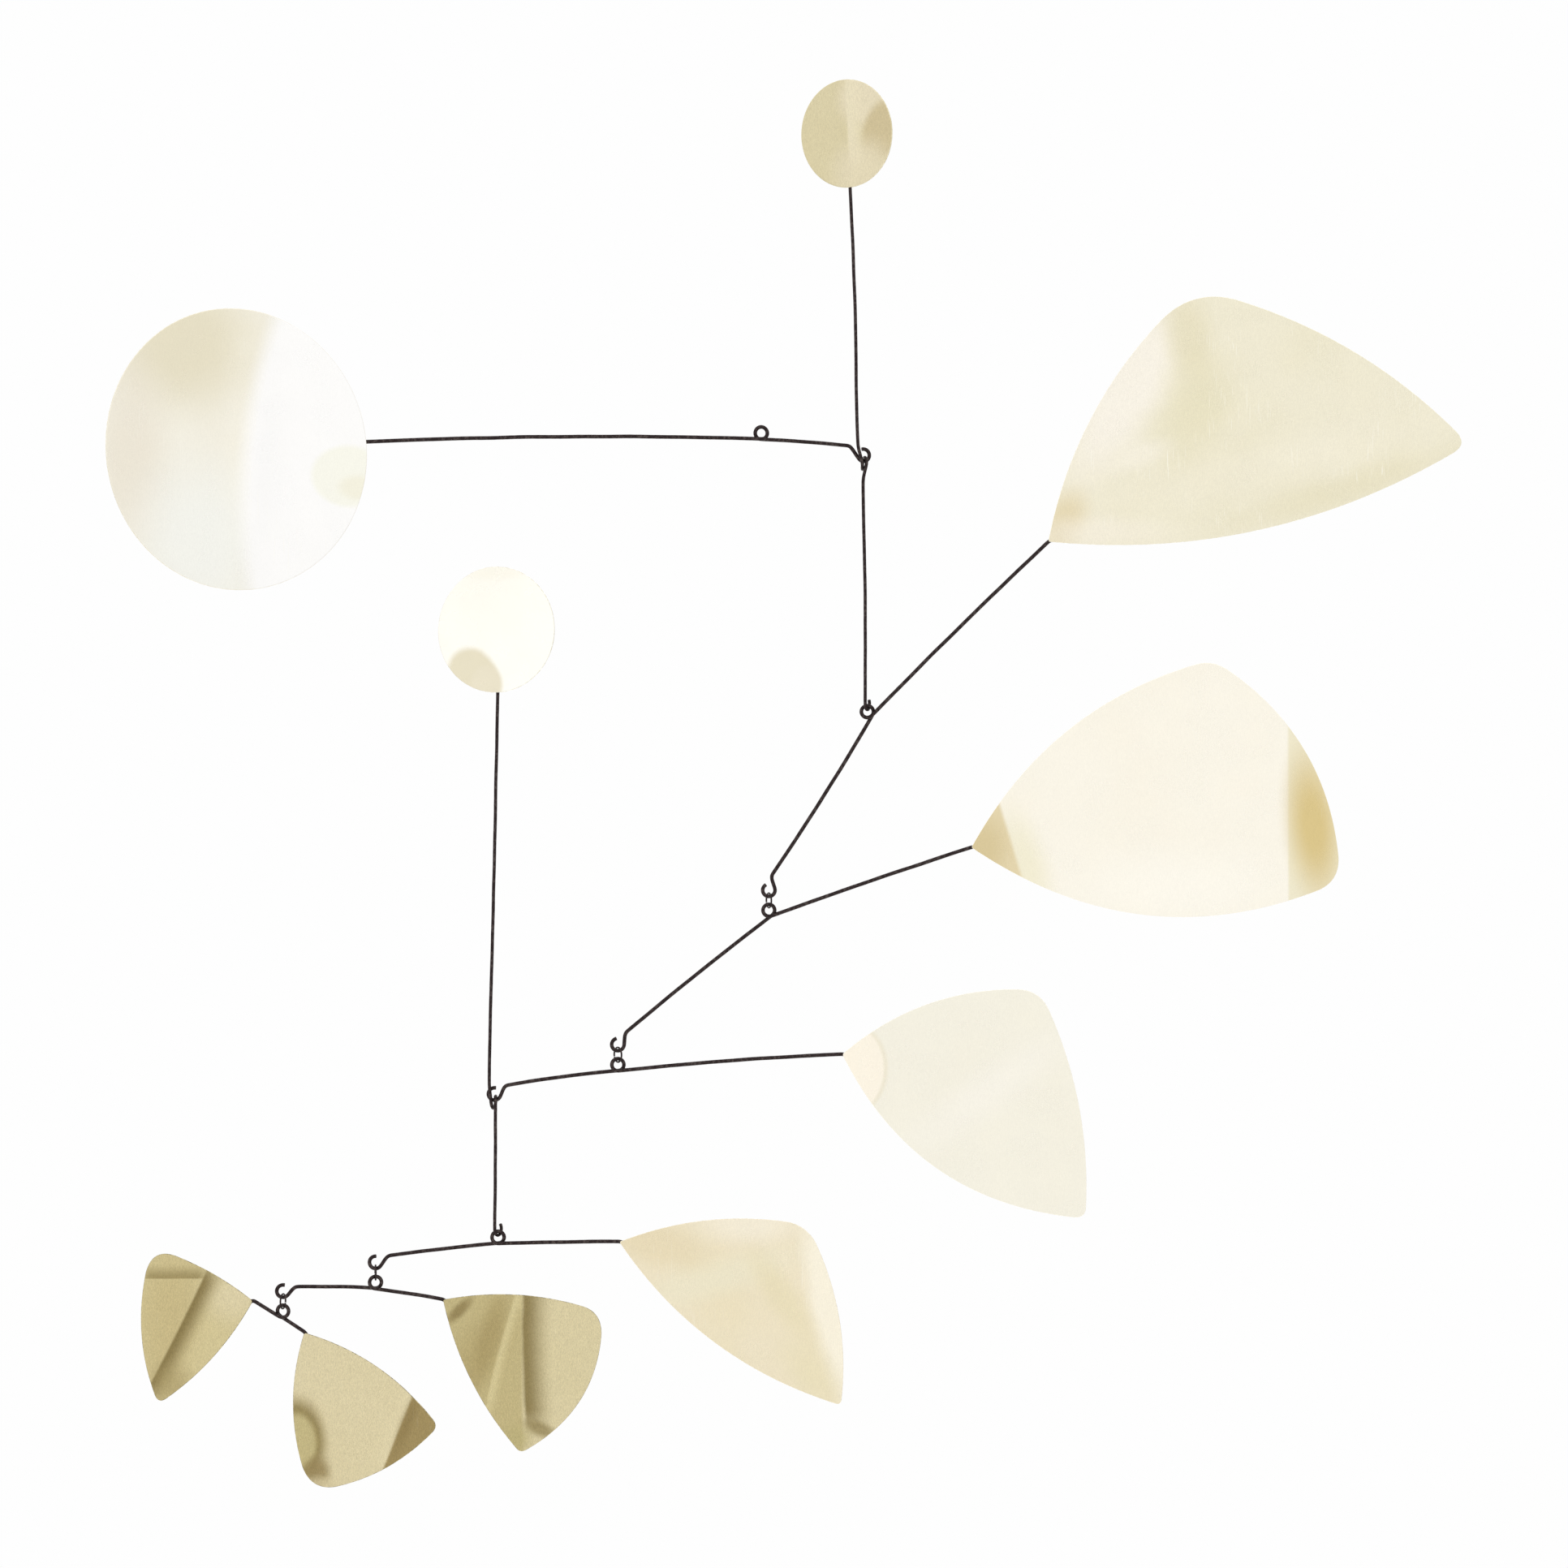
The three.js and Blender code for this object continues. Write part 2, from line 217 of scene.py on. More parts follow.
class NodeSheet:
    """One material, and a short way to lay out the nodes in it."""

    def __init__(self, name: str) -> None:
        """Start an empty material of that name."""
        self.material = bpy.data.materials.new(name)
        self.material.use_nodes = True
        self.tree = self.material.node_tree
        self.tree.nodes.clear()
        self.place = self.node("ShaderNodeTexCoord").outputs["Object"]

    def node(self, kind: str, **settings: object) -> bpy.types.Node:
        """Add a node and set its options.

        Args:
            kind: The type of the node.
            settings: Its options by name.

        Returns:
            The node.
        """
        made = self.tree.nodes.new(kind)
        for option, value in settings.items():
            setattr(made, option, value)
        return made

    def feed(self, socket: bpy.types.NodeSocket, value: object) -> None:
        """Give a socket a value, or link it where the value is another socket."""
        if isinstance(value, bpy.types.NodeSocket):
            self.tree.links.new(value, socket)
        else:
            socket.default_value = value

    def math(self, operation: str, first: object, second: object = 0.0) -> bpy.types.NodeSocket:
        """Do a sum on one or two values.

        Args:
            operation: The name of the sum.
            first: A number or a socket.
            second: Another, where the sum takes two.

        Returns:
            The socket of the result.
        """
        made = self.node("ShaderNodeMath", operation=operation)
        self.feed(made.inputs[0], first)
        self.feed(made.inputs[1], second)
        return made.outputs[0]

    def ramp(self, value: object, low: float, high: float, start: float = 0.0, end: float = 1.0
             ) -> bpy.types.NodeSocket:
        """Carry a value smoothly from start to end as another goes from low to high.

        Args:
            value: The value that is followed.
            low: Where the change starts.
            high: Where the change ends.
            start: The result up to low.
            end: The result from high on.

        Returns:
            The socket of the result.
        """
        made = self.node("ShaderNodeMapRange", interpolation_type="SMOOTHSTEP")
        for socket, given in zip(made.inputs[:5], (value, low, high, start, end)):
            self.feed(socket, given)
        return made.outputs[0]

    def cloud(self, size: float, detail: float = 2.0, vector: object = None) -> bpy.types.NodeSocket:
        """Lay out a noise from 0 to 1.

        Args:
            size: The width of a blotch, in millimetres.
            detail: How much finer noise is in it.
            vector: The place to read, where it is not the plain one.

        Returns:
            The socket of the noise.
        """
        made = self.node("ShaderNodeTexNoise", noise_dimensions="3D")
        self.feed(made.inputs["Vector"], vector or self.place)
        made.inputs["Scale"].default_value = 1 / (size * MM)
        made.inputs["Detail"].default_value = detail
        return made.outputs[0]

    def mapped(self, kind: str, centre: Vector, lean: float, scale: tuple[float, float, float]
               ) -> bpy.types.NodeSocket:
        """Measure the place from a centre, along axes that lean and are scaled.

        Args:
            kind: The way the mapping is applied.
            centre: The centre, in metres.
            lean: Degrees that the axes lean to the right.
            scale: The scale along each axis.

        Returns:
            The socket of the measured place.
        """
        made = self.node("ShaderNodeMapping", vector_type=kind)
        self.feed(made.inputs["Vector"], self.place)
        made.inputs["Location"].default_value = centre
        made.inputs["Rotation"].default_value = (0.0, math.radians(lean), 0.0)
        made.inputs["Scale"].default_value = scale
        return made.outputs[0]

    def blend(self, share: object, under: object, over: object) -> bpy.types.NodeSocket:
        """Lay one colour over another.

        Args:
            share: How much of the upper colour shows.
            under: The lower colour.
            over: The upper colour.

        Returns:
            The socket of the colour.
        """
        made = self.node("ShaderNodeMix", data_type="RGBA")
        self.feed(made.inputs[0], share)
        self.feed(made.inputs[6], under)
        self.feed(made.inputs[7], over)
        return made.outputs[2]

    def shaded(self, level: object, colour: object) -> bpy.types.NodeSocket:
        """Make a colour lighter or darker.

        Args:
            level: The level, 1 where the colour stays as it is.
            colour: The colour.

        Returns:
            The socket of the colour.
        """
        made = self.node("ShaderNodeMix", data_type="RGBA", blend_type="MULTIPLY")
        made.inputs[0].default_value = 1.0
        self.feed(made.inputs[6], colour)
        self.feed(made.inputs[7], level)
        return made.outputs[2]

    def metal(self, colour: object, roughness: object, metallic: float, height: object, depth: float
              ) -> bpy.types.Material:
        """Close the sheet with a metal surface.

        Args:
            colour: The colour, or the socket that gives it.
            roughness: The roughness, or the socket that gives it.
            metallic: How much of a bare metal the surface is.
            height: The socket that gives the fine relief.
            depth: How deep that relief is, in millimetres.

        Returns:
            The finished material.
        """
        surface = self.node("ShaderNodeBsdfPrincipled")
        self.feed(surface.inputs["Base Color"], colour)
        self.feed(surface.inputs["Roughness"], roughness)
        surface.inputs["Metallic"].default_value = metallic
        relief = self.node("ShaderNodeBump")
        relief.inputs["Strength"].default_value = 1.0
        relief.inputs["Distance"].default_value = depth * MM
        self.feed(relief.inputs["Height"], height)
        self.feed(surface.inputs["Normal"], relief.outputs[0])
        out = self.node("ShaderNodeOutputMaterial")
        self.feed(out.inputs["Surface"], surface.outputs[0])
        return self.material


@dataclass(frozen=True)
class PaintedReflection:
    """A painted reflection on a plate: an area whose colour is painted lighter or darker to stand for the room's
    light and shade seen in the sheet.

    A spot is an oval that fades at its edge. A wedge is all that lies to the right of a line. A fold is a
    line that is sharp on its left and fades to its right. All of them lean to the right by an angle.
    """

    mark: Mark
    place: tuple[float, float]
    reach: tuple[float, float]
    # The painted colour: lighter where a reflected light is painted, darker where shade is painted.
    tone: int
    lean: float = 0.0
    strength: float = 1.0
    edge: float = 0.5
    bend: float = 0.0
    ragged: float = 0.0

    def share(self, sheet: NodeSheet, low: Vector, high: Vector) -> bpy.types.NodeSocket:
        """Return how much of the painted reflection shows at a place.

        Args:
            sheet: The material that is being laid out.
            low: The lowest corner of the plate.
            high: The highest corner of the plate.

        Returns:
            The socket that gives the share.
        """
        centre = Vector((lerp(low.x, high.x, self.place[0]), 0.0, lerp(low.z, high.z, self.place[1])))
        across, along = (size * MM for size in self.reach)
        local = sheet.node("ShaderNodeSeparateXYZ")
        sheet.feed(local.inputs[0], sheet.mapped("TEXTURE", centre, self.lean, (across, 1.0, along)))
        aside, up = local.outputs[0], local.outputs[2]
        if self.bend:
            aside = sheet.math("SUBTRACT", aside, sheet.math("MULTIPLY", sheet.math("MULTIPLY", up, up),
                                                             self.bend))
        if self.ragged:
            wander = sheet.math("SUBTRACT", sheet.cloud(14.0, 3.0), 0.5)
            aside = sheet.math("ADD", aside, sheet.math("MULTIPLY", wander, self.ragged))
        if self.mark is Mark.WEDGE:
            covered = sheet.ramp(aside, -1.0, 1.0)
        elif self.mark is Mark.FOLD:
            covered = sheet.math("MULTIPLY", sheet.ramp(aside, -self.edge, 0.0), sheet.ramp(aside, 0.0,
                                                                                            1.0, 1.0, 0.0))
            ends = sheet.ramp(sheet.math("ABSOLUTE", up), 0.6, 1.0, 1.0, 0.0)
            covered = sheet.math("MULTIPLY", covered, ends)
        else:
            out = sheet.math("POWER", sheet.math("ADD", sheet.math("MULTIPLY", aside, aside),
                                                 sheet.math("MULTIPLY", up, up)), 0.5)
            covered = sheet.ramp(out, 1.0 - self.edge, 1.0 + self.edge, 1.0, 0.0)
        return sheet.math("MULTIPLY", covered, self.strength)


@dataclass(frozen=True)
class BrassFinish:
    """Thin brass sheet, rubbed to a satin and clouded by handling, with painted reflections and painted shade
    laid into its colour.
    """

    tone: int
    # The colour of the cut edge; where it is pale, it is a painted highlight of the edge catching the light.
    rim: int
    # Patches of painted reflection and painted shade, laid over the sheet's colour.
    painted_reflections: tuple[PaintedReflection, ...] = ()
    clouding: float = 0.35
    cloud_tone: int = 0xDCD2AE
    scratching: float = 0.25
    roughness: float = 0.3
    grain: float = 0.05
    grain_size: float = 0.4

    def sheet_material(self, name: str, low: Vector, high: Vector) -> bpy.types.Material:
        """Make the material of the plate's two faces.

        Args:
            name: The plate's name.
            low: The lowest corner of the plate.
            high: The highest corner of the plate.

        Returns:
            The material.
        """
        sheet = NodeSheet(f"{name}_brass")
        drift = sheet.ramp(sheet.cloud(38.0, 3.0), 0.35, 0.75, 0.0, self.clouding)
        colour = sheet.blend(drift, linear(self.tone), linear(self.cloud_tone))
        # Lay in the painted reflections and painted shade, one patch after another.
        for tone in self.painted_reflections:
            colour = sheet.blend(tone.share(sheet, low, high), colour, linear(tone.tone))
        grain = self.hatching(sheet)
        colour = sheet.shaded(sheet.ramp(grain, 0.3, 0.7, 1 - self.grain, 1 + self.grain), colour)
        scores = self.scratches(sheet)
        colour = sheet.blend(sheet.math("MULTIPLY", scores, self.scratching), colour, linear(0xFFFDF4))
        rough = sheet.ramp(sheet.cloud(16.0, 3.0), 0.3, 0.7, self.roughness - 0.05, self.roughness + 0.08)
        relief = sheet.math("ADD", grain, sheet.math("MULTIPLY", scores, -1.0))
        return sheet.metal(colour, rough, 1.0, relief, 0.004)

    def hatching(self, sheet: NodeSheet) -> bpy.types.NodeSocket:
        """Return the fine grain of the rubbed sheet, short steep strokes among fine specks."""
        strokes = sheet.cloud(self.grain_size, 1.0, sheet.mapped("POINT", Vector(), -24.0, (1.0, 1.0, 0.25)))
        specks = sheet.cloud(self.grain_size * 0.8, 2.0)
        return sheet.math("ADD", sheet.math("MULTIPLY", strokes, 0.4), sheet.math("MULTIPLY", specks, 0.6))

    def scratches(self, sheet: NodeSheet) -> bpy.types.NodeSocket:
        """Return where the fine rubbing marks lie, in two directions."""
        found = None
        for lean, length in ((24.0, 22.0), (-38.0, 16.0)):
            drawn = sheet.mapped("POINT", Vector(), lean, (1.0, 1.0, 0.35 / length))
            line = sheet.ramp(sheet.cloud(0.35, 0.0, drawn), 0.74, 0.8)
            patchy = sheet.ramp(sheet.cloud(24.0, 1.0), 0.5, 0.66)
            line = sheet.math("MULTIPLY", line, patchy)
            found = line if found is None else sheet.math("MAXIMUM", found, line)
        return found

    def rim_material(self, name: str) -> bpy.types.Material:
        """Make the material of the cut edge all round the plate; a pale rim colour is a painted highlight of the
        edge catching the light.
        """
        sheet = NodeSheet(f"{name}_rim")
        filed = sheet.cloud(1.2, 2.0)
        colour = sheet.blend(sheet.ramp(filed, 0.3, 0.7), linear(self.rim), linear(self.tone))
        return sheet.metal(colour, self.roughness + 0.12, 1.0, filed, 0.02)


@dataclass(frozen=True)
class WireFinish:
    """Blackened steel wire, with a lighter mottle that is partly wear where it was bent and handled and partly
    painted glints.
    """

    name: str = "blackened_wire"
    tone: int = 0x2A2122
    wear_and_glint: int = 0x6A605C
    roughness: float = 0.34

    def material(self) -> bpy.types.Material:
        """Make the material."""
        sheet = NodeSheet(self.name)
        # The lighter mottle is partly worn metal and partly painted glints along the wire.
        mottle = sheet.ramp(sheet.cloud(1.3, 4.0), 0.42, 0.72, 0.0, 0.42)
        pits = sheet.cloud(0.5, 2.0)
        colour = sheet.blend(mottle, linear(self.tone), linear(self.wear_and_glint))
        colour = sheet.blend(sheet.ramp(pits, 0.55, 0.75, 0.0, 0.6), colour, linear(0x171112))
        rough = sheet.ramp(sheet.cloud(1.4, 2.0), 0.3, 0.7, self.roughness - 0.1, self.roughness + 0.14)
        relief = sheet.math("ADD", pits, sheet.cloud(1.9, 2.0))
        return sheet.metal(colour, rough, 0.85, relief, 0.05)


@dataclass(frozen=True)
class SolderFinish:
    """Dull grey solder with a dark flux stain."""

    name: str = "solder"
    tone: int = 0x8E8B86
    stain: int = 0x3B322C
    roughness: float = 0.46

    def material(self) -> bpy.types.Material:
        """Make the material."""
        sheet = NodeSheet(self.name)
        stained = sheet.ramp(sheet.cloud(2.0, 3.0), 0.42, 0.6)
        colour = sheet.blend(stained, linear(self.tone), linear(self.stain))
        return sheet.metal(colour, self.roughness, 0.9, sheet.cloud(0.7, 2.0), 0.06)


# ----------------------------------------------------------------------------------------------------- plates


class Outline(ABC):
    """The outline of a plate, measured across and up from the point that the wire holds."""

    @abstractmethod
    def points(self) -> list[Vector]:
        """Return the outline's points, in order."""

    @abstractmethod
    def middle_way(self) -> Vector:
        """Return the direction from the held point to the middle of the plate."""


@dataclass(frozen=True)
class LeafOutline(Outline):
    """A triangle with bowed sides and rounded corners, held by one corner.

    The bulges belong to the sides from that corner to the first tip, to the second tip and back, and the cuts
    are the lengths that rounding takes off the three corners.
    """

    tips: tuple[tuple[float, float], tuple[float, float]]
    bulges: tuple[float, float, float]
    cuts: tuple[float, float, float]
    side_steps: int = 44
    corner_steps: int = 12

    def side(self, index: int) -> Callable[[float], Vector]:
        """Return a side as a function of how far along it a point is, from 0 to 1."""
        corners = [Vector((0.0, 0.0)), *(Vector(tip) for tip in self.tips)]
        start, end = corners[index], corners[(index + 1) % 3]
        hand = math.copysign(1.0, corners[1].cross(corners[2]))
        along = (end - start).normalized()
        outwards = Vector((along.y, -along.x)) * hand
        top = (start + end) / 2 + outwards * 2 * self.bulges[index]
        return lambda t: start * (1 - t) ** 2 + top * 2 * t * (1 - t) + end * t ** 2

    def points(self) -> list[Vector]:
        """Return three sides with a rounded corner after each."""
        corners = [Vector((0.0, 0.0)), *(Vector(tip) for tip in self.tips)]
        lengths = [(corners[(i + 1) % 3] - corners[i]).length for i in range(3)]
        found = []
        for i in range(3):
            after = (i + 1) % 3
            this_side, next_side = self.side(i), self.side(after)
            first, last = self.cuts[i] / lengths[i], 1 - self.cuts[after] / lengths[i]
            found += [this_side(lerp(first, last, k / self.side_steps)) for k in range(self.side_steps + 1)]
            start, end = this_side(last), next_side(self.cuts[after] / lengths[after])
            for k in range(1, self.corner_steps):
                t = k / self.corner_steps
                found.append(start * (1 - t) ** 2 + corners[after] * 2 * t * (1 - t) + end * t ** 2)
        return found

    def middle_way(self) -> Vector:
        """Return the direction to the middle of the three corners."""
        return ((Vector(self.tips[0]) + Vector(self.tips[1])) / 3).normalized()


@dataclass(frozen=True)
class DiscOutline(Outline):
    """A round plate, held at a point of its edge."""

    radius: float
    centre: tuple[float, float]
    steps: int = 168

    def points(self) -> list[Vector]:
        """Return a circle, slightly out of round as it was cut by hand."""
        found = []
        for k in range(self.steps):
            angle = 2 * math.pi * k / self.steps
            radius = self.radius * (1 + 0.0025 * math.sin(3 * angle + self.radius))
            found.append(Vector(self.centre) + Vector((math.cos(angle), math.sin(angle))) * radius)
        return found

    def middle_way(self) -> Vector:
        """Return the direction to the centre."""
        return Vector(self.centre).normalized()


@dataclass(frozen=True)
class Wave:
    """A soft ridge in a plate, at a share of the way across and up it."""

    place: tuple[float, float]
    reach: tuple[float, float]
    height: float
    lean: float = 0.0

    def lift(self, point: Vector, low: Vector, high: Vector) -> float:
        """Find how far the ridge pushes a point of the plate forwards.

        Args:
            point: The point, across and up.
            low: The lowest corner of the outline.
            high: The highest corner of the outline.

        Returns:
            The lift, in millimetres.
        """
        centre = Vector((lerp(low.x, high.x, self.place[0]), lerp(low.y, high.y, self.place[1])))
        offset = Matrix.Rotation(math.radians(self.lean), 2) @ (point - centre)
        across, along = offset.x / self.reach[0], offset.y / self.reach[1]
        return self.height * math.exp(-across * across - along * along)


@dataclass(frozen=True)
class Plate:
    """A thin brass plate: its outline, how it is bent, and its finish."""

    name: str
    slot: Slot
    outline: Outline
    sheet: float
    bow: float
    finish: BrassFinish
    twist: float = 0.0
    waves: tuple[Wave, ...] = ()
    rings: int = 26
    rim: float = 0.5
    buckle: float = 0.22
    buckle_size: float = 34.0

    def build(self, place: Matrix, body: str) -> bpy.types.Object:
        """Make the plate and put it on its body.

        Args:
            place: From the plate's own frame to the mobile's, in millimetres.
            body: The body that it moves with.

        Returns:
            The plate.
        """
        shape = bmesh.new()
        self.spread(shape)
        self.thicken(shape)
        self.bend(shape)
        bmesh.ops.transform(shape, matrix=place, verts=shape.verts[:])
        low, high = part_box(self.name)
        materials = (self.finish.sheet_material(self.name, low, high), self.finish.rim_material(self.name))
        made = finished(shape, f"{self.name}_sheet", materials, sharp_over=34.0)
        return fitted(made, body, self.slot, self.name)

    def spread(self, shape: bmesh.types.BMesh) -> None:
        """Draw rings out from the middle of a round blank, and carry them to the outline."""
        outline = self.outline.points()
        count = len(outline)
        middle = sum(outline, Vector((0.0, 0.0))) / count
        reach = max((point - middle).length for point in outline)
        radii = [(k + 1) / self.rings for k in range(self.rings)]
        radii.insert(-1, 1 - self.rim / reach)
        bmesh.ops.create_circle(shape, cap_ends=True, cap_tris=True, segments=count, radius=radii[0])
        for inner, outer in zip(radii, radii[1:]):
            edge = [e for e in shape.edges if e.is_boundary]
            drawn = bmesh.ops.extrude_edge_only(shape, edges=edge)["geom"]
            verts = [v for v in drawn if isinstance(v, bmesh.types.BMVert)]
            bmesh.ops.scale(shape, vec=(outer / inner, outer / inner, 1.0), verts=verts)
        for vert in shape.verts:
            turn = math.atan2(vert.co.y, vert.co.x) / (2 * math.pi) % 1.0 * count
            rim = outline[int(turn) % count].lerp(outline[(int(turn) + 1) % count], turn - int(turn))
            at = middle.lerp(rim, min(vert.co.xy.length, 1.0))
            vert.co = Vector((at.x, 0.0, at.y))

    def thicken(self, shape: bmesh.types.BMesh) -> None:
        """Give the sheet its thickness and a small bevel round both faces."""
        bmesh.ops.recalc_face_normals(shape, faces=shape.faces[:])
        bmesh.ops.solidify(shape, geom=shape.faces[:], thickness=self.sheet)
        depths = [vert.co.y for vert in shape.verts]
        bmesh.ops.translate(shape, vec=(0.0, -(min(depths) + max(depths)) / 2, 0.0), verts=shape.verts[:])
        corners = [e for e in shape.edges if e.calc_face_angle(0.0) > SQUARE_EDGE]
        bmesh.ops.bevel(shape, geom=corners, offset=self.sheet * BEVEL_SHARE, offset_type="OFFSET",
                        segments=2,
                        profile=0.5, affect="EDGES", material=-1, clamp_overlap=True)
        for face in shape.faces:
            face.normal_update()
            face.material_index = 0 if abs(face.normal.y) > FLAT else 1

    def bend(self, shape: bmesh.types.BMesh) -> None:
        """Curl, twist and wave the sheet out of its plane."""
        outline = self.outline.points()
        low = Vector((min(p.x for p in outline), min(p.y for p in outline)))
        high = Vector((max(p.x for p in outline), max(p.y for p in outline)))
        along = (sum(outline, Vector((0.0, 0.0))) / len(outline)).normalized()
        reach = max(point.length for point in outline)
        for vert in shape.verts:
            point = Vector((vert.co.x, vert.co.z))
            outwards, sideways = point.dot(along) / reach, point.cross(along) / reach
            lift = self.bow * outwards ** 2 + self.twist * outwards * sideways * 2
            lift += sum(wave.lift(point, low, high) for wave in self.waves)
            spot = Vector((point.x, point.y, len(self.name) * self.sheet * 50)) / self.buckle_size
            lift += self.buckle * noise.noise(spot) * min(1.0, point.length / self.buckle_size)
            vert.co.y -= lift


# ------------------------------------------------------------------------------------------------------ wires


@dataclass(frozen=True)
class Bends:
    """The bends and clearances that all the wires share, measured to the middle of the wire."""

    eye: float = 2.7
    hook: float = 2.8
    ring: float = 3.25
    pitch: float = 2.0
    neck: float = 2.2
    neck_share: float = 0.6
    hang_gap: float = 0.3
    plate_gap: float = 0.3
    tail: float = 12.0


@dataclass(frozen=True)
class Kink:
    """A place where a run of wire was pushed aside, at a share of the way along it."""

    at: float
    shift: tuple[float, float, float]
    width: float = 0.1


@dataclass(frozen=True)
class Run:
    """A nearly straight stretch of wire."""

    bow: float = 0.0
    kinks: tuple[Kink, ...] = ()

    def points(self, start: Vector, end: Vector, seed: float) -> list[Vector]:
        """Return the points of the run, bowed upwards, or to the left where it is upright.

        Args:
            start: Where the run starts.
            end: Where it ends.
            seed: What makes its unevenness its own.

        Returns:
            The points, both ends among them.
        """
        along = end - start
        across = Vector((-along.z, 0.0, along.x)).normalized()
        if across.z < 0:
            across.negate()
        top = (start + end) / 2 + across * 2 * self.bow
        steps = max(2, round(along.length / RUN_STEP))
        found = []
        for k in range(steps + 1):
            t = k / steps
            point = start * (1 - t) ** 2 + top * 2 * t * (1 - t) + end * t ** 2
            loose = math.sin(math.pi * t) ** 0.5 * HAND_SWAY
            way = Vector((seed, t * along.length / SWAY_LENGTH, 0.0))
            point += (across * noise.noise(way) + FORWARDS * noise.noise(way + Vector((0, 0, 9)))) * loose
            near_end = min(1.0, min(t, 1 - t) * along.length / EASE)
            for kink in self.kinks:
                point += Vector(kink.shift) * math.exp(-(((t - kink.at) / kink.width) ** 2)) * near_end
            found.append(point)
        return found


@dataclass(frozen=True)
class Hook:
    """The hook at the end of a wire.

    The neck is the corner above it, measured from its centre, the tip is the angle at which the wire ends,
    and the turn is about the vertical.
    """

    neck: tuple[float, float]
    tip: float
    turn: float = 0.0

    def points(self, centre: Vector, bends: Bends, winding: Winding) -> list[Vector]:
        """Go from the corner of the neck to the tip.

        Args:
            centre: The centre of the hook.
            bends: The sizes of the bends.
            winding: Which way round the hook goes.

        Returns:
            The points.
        """
        corner = centre + Vector((self.neck[0], 0.0, self.neck[1]))
        wind = winding.value
        start = heading_onto(centre, bends.hook, corner, wind) - wind * math.pi / 2
        sweep = (wind * (math.radians(self.tip) - start)) % (2 * math.pi)
        found = [corner, *turn_points(centre, bends.hook, start, start + wind * sweep, centre.y, centre.y)]
        turned = Matrix.Rotation(math.radians(self.turn), 3, "Z")
        return [turned @ (point - centre) + centre for point in found]


@dataclass(frozen=True)
class Hold:
    """A plate on a wire: where the two meet, and how the plate is turned and nodded there."""

    plate: Plate
    at: tuple[float, float, float]
    turn: float = 0.0
    nod: float = 0.0


def turn_points(centre: Vector, radius: float, start: float, end: float, depth: float, end_depth: float
                ) -> list[Vector]:
    """Go round a centre, upright and facing the front.

    Args:
        centre: The centre.
        radius: The radius.
        start: The angle of the first point.
        end: The angle of the last point.
        depth: The depth of the first point.
        end_depth: The depth of the last point.

    Returns:
        The points.
    """
    steps = max(2, math.ceil(abs(end - start) / ARC_STEP))
    found = []
    for k in range(steps + 1):
        angle = lerp(start, end, k / steps)
        aside, up = radius * math.cos(angle), radius * math.sin(angle)
        found.append(Vector((centre.x + aside, lerp(depth, end_depth, k / steps), centre.z + up)))
    return found


def heading_onto(centre: Vector, radius: float, point: Vector, wind: int) -> float:
    """Find the direction of a straight wire from a point on to a circle that it then follows.

    Args:
        centre: The centre of the circle.
        radius: Its radius.
        point: The point.
        wind: 1 for an anticlockwise turn, -1 for a clockwise one.

    Returns:
        The angle, in radians.
    """
    across, up = centre.x - point.x, centre.z - point.z
    return math.atan2(up, across) - wind * math.asin(radius / math.hypot(across, up))


def heading_off(centre: Vector, radius: float, point: Vector, wind: int) -> float:
    """Find the direction of a straight wire that leaves a circle for a point.

    Args:
        centre: The centre of the circle.
        radius: Its radius.
        point: The point.
        wind: 1 for an anticlockwise turn, -1 for a clockwise one.

    Returns:
        The angle, in radians.
    """
    across, up = point.x - centre.x, point.z - centre.z
    return math.atan2(up, across) + wind * math.asin(radius / math.hypot(across, up))


def rounded_corner(before: Vector, corner: Vector, after: Vector, bends: Bends) -> list[Vector]:
    """Round the corner between two straight stretches.

    Args:
        before: A point on the first stretch.
        corner: The corner.
        after: A point on the second stretch.
        bends: The sizes of the bends.

    Returns:
        The points of the rounding.
    """
    ends = []
    for other in (before, after):
        length = (other - corner).length
        ends.append(corner.lerp(other, min(bends.neck, length * bends.neck_share) / length))
    start, end = ends
    steps = CORNER_STEPS
    return [start * (1 - k / steps) ** 2 + corner * 2 * (k / steps) * (1 - k / steps) + end * (k / steps) ** 2
            for k in range(steps + 1)]


def settled(path: list[Vector], spacing: float = 0.55, passes: int = 2) -> list[Vector]:
    """Space the points of a path evenly and ease its corners, as a bent wire does.

    Args:
        path: The points of the path.
        spacing: The distance between two points of the result.
        passes: How many times every point moves towards its neighbours.

    Returns:
        The new points.
    """
    lengths = [0.0]
    for before, after in zip(path, path[1:]):
        lengths.append(lengths[-1] + (after - before).length)
    count = round(lengths[-1] / spacing)
    even, index = [], 0
    for k in range(count + 1):
        want = lengths[-1] * k / count
        while index < len(path) - 2 and lengths[index + 1] < want:
            index += 1
        step = max(lengths[index + 1] - lengths[index], 1e-9)
        even.append(path[index].lerp(path[index + 1], (want - lengths[index]) / step))
    for _ in range(passes):
        inner = [(a + b * 2 + c) / 4 for a, b, c in zip(even, even[1:], even[2:])]
        even = [even[0], *inner, even[-1]]
    return even


